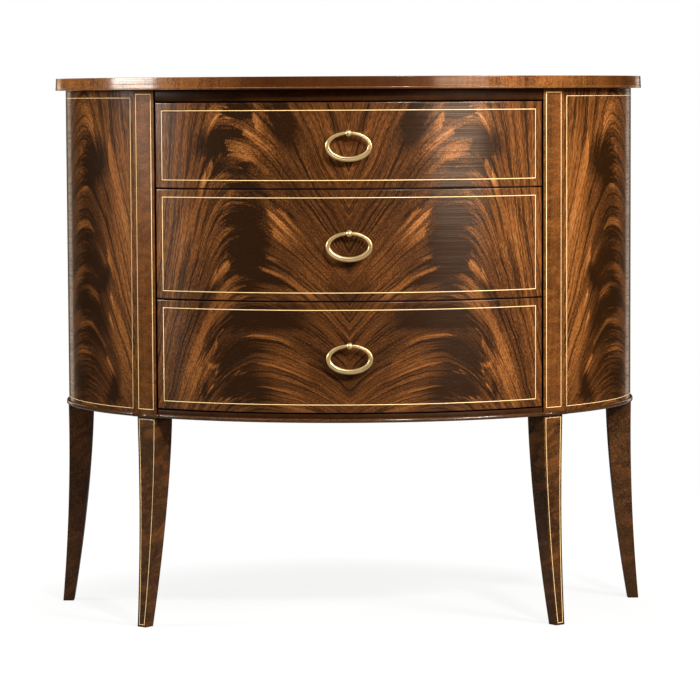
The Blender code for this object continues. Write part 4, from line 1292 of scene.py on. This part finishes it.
class DEMILUNE_OT_pulls(bpy.types.Operator):
    """Builds the brass balls and the oval rings that hang from them"""

    bl_idname = "demilune.pulls"
    bl_label = "Ring pulls"

    def execute(self, context):
        sizes = context.scene.demilune_sizes
        for name in DRAWERS:
            low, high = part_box(f"{name}_drawer_pull_post")
            ball = Vector((0, plan(0, PULL_STANDOFF).y, (low.z + high.z) / 2))
            self.add_post(name, ball)
            self.add_ring(name, ball, sizes.ring_groove)
        return {"FINISHED"}

    def add_post(self, name, ball):
        face = PULL_STANDOFF - FIT
        rose = face - COLLAR_THICKNESS
        joint = math.asin(NECK_RADIUS / BALL_RADIUS)
        profile = [(0, STEM_LENGTH + face), (STEM_RADIUS, STEM_LENGTH + face), (STEM_RADIUS, face)]
        profile += [(COLLAR_RADIUS, face), (COLLAR_RADIUS, rose + 2 * FIT), (COLLAR_RADIUS - FIT, rose)]
        profile += [(NECK_RADIUS + FIT, rose), (NECK_RADIUS, rose - FIT)]
        for step in range(BALL_STEPS + 1):
            angle = joint + (math.pi - joint) * step / BALL_STEPS
            profile.append((BALL_RADIUS * math.sin(angle), BALL_RADIUS * math.cos(angle)))
        bm = bmesh.new()
        points = [bm.verts.new((radius, y, 0)) for radius, y in profile]
        edges = [bm.edges.new(pair) for pair in zip(points, points[1:])]
        self.spin(bm, points + edges, 2 * math.pi, POST_STEPS, True)
        bmesh.ops.remove_doubles(bm, verts=bm.verts, dist=FIT / 100)
        bmesh.ops.translate(bm, vec=ball, verts=bm.verts)
        node = f"{name}_drawer_pull_post"
        post = add_piece(f"{name}_ball_post", bm, ["brass"], [node], f"{name}_drawer")
        post.data.set_sharp_from_angle(angle=POST_SHARP_ANGLE)

    def spin(self, bm, geometry, angle, steps, closed):
        """Spins the geometry round the Y axis."""
        axes = {"cent": (0, 0, 0), "axis": (0, 1, 0)}
        bmesh.ops.spin(bm, geom=geometry, angle=angle, steps=steps, use_merge=closed, **axes)

    def add_ring(self, name, ball, groove):
        start = math.asin((BALL_RADIUS + FIT) / RING_HALF_WIDTH)
        bm = bmesh.new()
        bmesh.ops.create_circle(bm, segments=RING_SECTION_STEPS, radius=0.25)
        bmesh.ops.rotate(bm, cent=(0, 0, 0), matrix=Matrix.Rotation(-QUARTER, 3, "Y"), verts=bm.verts)
        bmesh.ops.translate(bm, vec=(0, 0, 1), verts=bm.verts)
        bmesh.ops.rotate(bm, cent=(0, 0, 0), matrix=Matrix.Rotation(start, 3, "Y"), verts=bm.verts)
        self.spin(bm, bm.verts[:] + bm.edges[:], 2 * (math.pi - start), RING_STEPS, False)
        bmesh.ops.holes_fill(bm, edges=[edge for edge in bm.edges if edge.is_boundary])
        drop = RING_HALF_HEIGHT * (1 - math.cos(start))
        for vert in bm.verts:
            angle = math.atan2(vert.co.x, vert.co.z) % (2 * math.pi)
            out = math.hypot(vert.co.x, vert.co.z) - 1
            turn = math.atan2(vert.co.y, out)
            radius = ring_radius((1 - math.cos(angle)) / 2)
            depth = radius * RING_DEPTH_SHARE * math.sin(turn)
            hollow = math.exp(-((math.cos(turn) / GROOVE_SPREAD) ** 2)) * radius / RING_RADIUS_AT_FOOT
            depth -= math.copysign(groove * hollow, depth)
            tangent = Vector((RING_HALF_WIDTH * math.cos(angle), -RING_HALF_HEIGHT * math.sin(angle)))
            normal = Vector((-tangent.y, tangent.x)).normalized()
            x = RING_HALF_WIDTH * math.sin(angle) + radius * math.cos(turn) * normal.x
            z = RING_HALF_HEIGHT * (math.cos(angle) - 1) + drop + radius * math.cos(turn) * normal.y
            vert.co = (x, depth, z)
        pin = {"radius1": PIN_RADIUS, "radius2": PIN_RADIUS, "depth": 2 * (BALL_RADIUS + 2 * FIT)}
        turn = Matrix.Rotation(QUARTER, 4, "Y")
        bmesh.ops.create_cone(bm, cap_ends=True, segments=PIN_STEPS, matrix=turn, **pin)
        bmesh.ops.translate(bm, vec=ball, verts=bm.verts)
        node = f"{name}_drawer_ring"
        ring = add_piece(f"{name}_oval_ring", bm, ["brass"], [node], f"{name}_ring")
        ring.data.set_sharp_from_angle(angle=RING_SHARP_ANGLE)


class DEMILUNE_OT_inside(bpy.types.Operator):
    """Gives the boards and the drawers inside the cabinet their bare woods, and the nuts their steel"""

    bl_idname = "demilune.inside"
    bl_label = "Inside"

    def execute(self, context):
        woods = {
            "board_across": ["lower_divider", "upper_divider", "bottom_board"],
            "board_upright": ["back_panel"],
            "lining_along": [],
            "lining_across": [],
            "steel": [],
        }
        for name, _ in SIDES:
            woods["board_upright"] += [f"{name}_partition", f"{name}_back_post"]
        for name in DRAWERS:
            woods["lining_along"] += [f"{name}_drawer_left_side", f"{name}_drawer_right_side"]
            woods["lining_across"] += [f"{name}_drawer_back", f"{name}_drawer_bottom"]
            woods["steel"].append(f"{name}_drawer_pull_nut")
        for wood, nodes in woods.items():
            for node in nodes:
                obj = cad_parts[node]
                obj.data.materials.clear()
                obj.data.materials.append(finish(wood))
        return {"FINISHED"}


# A softbox lower than this isn't tilted
LEVEL_BELOW = 2.0
SOFT_WHITE = (1, 0.97, 0.92)

# Each light's name, place, size, power setting and colour
LIGHTS = (
    ("right_softbox", (1.90, -2.35, 1.36), (1.0, 1.5), "right_light", (1, 0.68, 0.47)),
    ("left_softbox", (-2.95, -0.38, 1.62), (1.15, 1.34), "left_light", SOFT_WHITE),
    ("right_overhead_softbox", (2.2, -1.75, 2.15), (0.75, 0.75), "right_overhead_light", SOFT_WHITE),
    ("key_light", (1.1, -3.0, 2.9), (0.3, 0.3), "key_light", SOFT_WHITE),
    ("left_low_softbox", (-2.70, -1.16, 0.72), (0.55, 1.1), "left_low_light", (1, 0.78, 0.58)),
    ("left_overhead_softbox", (-1.6, -1.4, 2.7), (1.6, 1.6), "left_overhead_light", SOFT_WHITE),
    ("left_rim_light", (-1.88, 3.17, 0.9), (0.62, 2.2), "rim_light", (1, 0.8, 0.62)),
    ("right_rim_light", (1.88, 3.17, 0.9), (0.62, 2.2), "rim_light", (1, 0.8, 0.62)),
)
LIT_POINT = Vector((0, 0, 0.62))

CAMERA_PLACE = (-0.00204, -5.36267, 0.88319)
CAMERA_TURN = (QUARTER - 0.0798, 0, -0.0005)
CAMERA_ROLL = -0.0051
CAMERA_LENS = 163.82

# The floor turns from its own paleness, a painted pool of faint shade round the feet, to white between these
# distances from the middle
FLOOR_HALF_SIZE = 1.6
FLOOR_FADE = (0.46, 0.86)


class DEMILUNE_OT_stage(bpy.types.Operator):
    """Sets up the pale floor, the soft lights and the camera"""

    bl_idname = "demilune.stage"
    bl_label = "Stage"

    def execute(self, context):
        studio = context.scene.demilune_studio
        self.add_floor(studio.floor_glow, studio.floor_bounce)
        self.add_surround(studio.surround)
        for name, location, size, power, colour in LIGHTS:
            self.add_light(name, location, size, getattr(studio, power), colour)
        camera = bpy.data.cameras.new("camera")
        camera.lens = CAMERA_LENS
        camera.sensor_width = 36
        obj = add_object("camera", camera)
        turn = Euler(CAMERA_TURN).to_matrix() @ Matrix.Rotation(CAMERA_ROLL, 3, "Z")
        obj.matrix_world = Matrix.Translation(CAMERA_PLACE) @ turn.to_4x4()
        context.scene.camera = obj
        context.scene.view_settings.view_transform = "Standard"
        return {"FINISHED"}

    def add_floor(self, glow, bounce):
        """A pale floor that shows shadows near the feet in a painted pool of faint shade, and fades to white
        round them.
        """
        bm = bmesh.new()
        bmesh.ops.create_grid(bm, x_segments=1, y_segments=1, size=FLOOR_HALF_SIZE)
        mesh = bpy.data.meshes.new("floor")
        bm.to_mesh(mesh)
        bm.free()
        inputs = {"Base Color": (0.065, 0.067, 0.069, 1), "Roughness": 0.9, "Emission Color": (1, 1, 1, 1)}
        material, tree, shader = new_material("pale_floor", inputs)
        seen = tree.nodes.new("ShaderNodeLightPath").outputs["Is Camera Ray"]
        x, y, _ = parts_of(tree, object_coordinates(tree))
        square = maths(tree, "ADD", maths(tree, "MULTIPLY", x, x), maths(tree, "MULTIPLY", y, y))
        # Painted shade: near the middle the camera sees the floor's glow lower, a faint grey pool round the
        # feet, rising to white further out.
        pale = spread(tree, maths(tree, "SQRT", square), *FLOOR_FADE, glow, 1.0, smooth=True)
        # Other rays see the floor glow at the bounce strength, a painted glow in place of light bounced off
        # it.
        strength = maths(tree, "MAXIMUM", maths(tree, "MULTIPLY", seen, pale), bounce)
        set_inputs(tree, shader, {"Emission Strength": strength})
        mesh.materials.append(material)
        add_object("floor", mesh)

    def add_surround(self, strength):
        """A dim room for the lacquer to mirror, which the camera sees as white."""
        world = bpy.data.worlds.new("studio")
        world.use_nodes = True
        tree = world.node_tree
        tree.nodes.clear()
        dim = {"Color": (1, 0.97, 0.94, 1), "Strength": strength}
        room = place(tree, "ShaderNodeBackground", dim).outputs[0]
        white = place(tree, "ShaderNodeBackground", {"Color": (1, 1, 1, 1), "Strength": 1.0}).outputs[0]
        seen = tree.nodes.new("ShaderNodeLightPath").outputs["Is Camera Ray"]
        both = place(tree, "ShaderNodeMixShader", {0: seen, 1: room, 2: white}).outputs[0]
        place(tree, "ShaderNodeOutputWorld", {"Surface": both})
        bpy.context.scene.world = world

    def add_light(self, name, location, size, power, colour):
        """A soft light that faces the middle of the cabinet and isn't seen by the camera itself."""
        light = bpy.data.lights.new(name, "AREA")
        light.shape = "RECTANGLE"
        light.size, light.size_y = size
        light.energy = power
        light.color = colour
        facing = LIT_POINT - Vector(location)
        if name.endswith("_softbox") and location[2] < LEVEL_BELOW:
            facing.z = 0
        obj = add_object(name, light)
        turn = facing.to_track_quat("-Z", "Y").to_matrix().to_4x4()
        obj.matrix_world = Matrix.Translation(location) @ turn
        obj.visible_camera = False


OPERATORS = (
    DEMILUNE_OT_top,
    DEMILUNE_OT_rails,
    DEMILUNE_OT_side_panels,
    DEMILUNE_OT_stiles,
    DEMILUNE_OT_beads,
    DEMILUNE_OT_legs,
    DEMILUNE_OT_drawer_fronts,
    DEMILUNE_OT_pulls,
    DEMILUNE_OT_inside,
    DEMILUNE_OT_stage,
)
GROUPS = {
    "demilune_sizes": DemiluneSizes,
    "demilune_colours": DemiluneColours,
    "demilune_studio": DemiluneStudio,
}


class DEMILUNE_PT_panel(bpy.types.Panel):
    """Lists the pieces to build and their settings"""

    bl_idname = "DEMILUNE_PT_panel"
    bl_label = "Demilune cabinet"
    bl_space_type = "VIEW_3D"
    bl_region_type = "UI"
    bl_category = "Demilune"

    def draw(self, context):
        layout = self.layout
        for operator in OPERATORS:
            layout.operator(operator.bl_idname)
        for name, group in GROUPS.items():
            box = layout.box()
            for setting in group.__annotations__:
                box.prop(getattr(context.scene, name), setting)


def register():
    for cls in (*GROUPS.values(), *OPERATORS, DEMILUNE_PT_panel):
        bpy.utils.register_class(cls)
    for name, group in GROUPS.items():
        setattr(bpy.types.Scene, name, bpy.props.PointerProperty(type=group))


def unregister():
    for name in GROUPS:
        delattr(bpy.types.Scene, name)
    for cls in (DEMILUNE_PT_panel, *reversed(OPERATORS), *GROUPS.values()):
        bpy.utils.unregister_class(cls)


def main():
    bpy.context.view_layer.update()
    register()
    for operator in OPERATORS:
        area, name = operator.bl_idname.split(".")
        getattr(getattr(bpy.ops, area), name)()


if __name__ == "__main__":
    main()
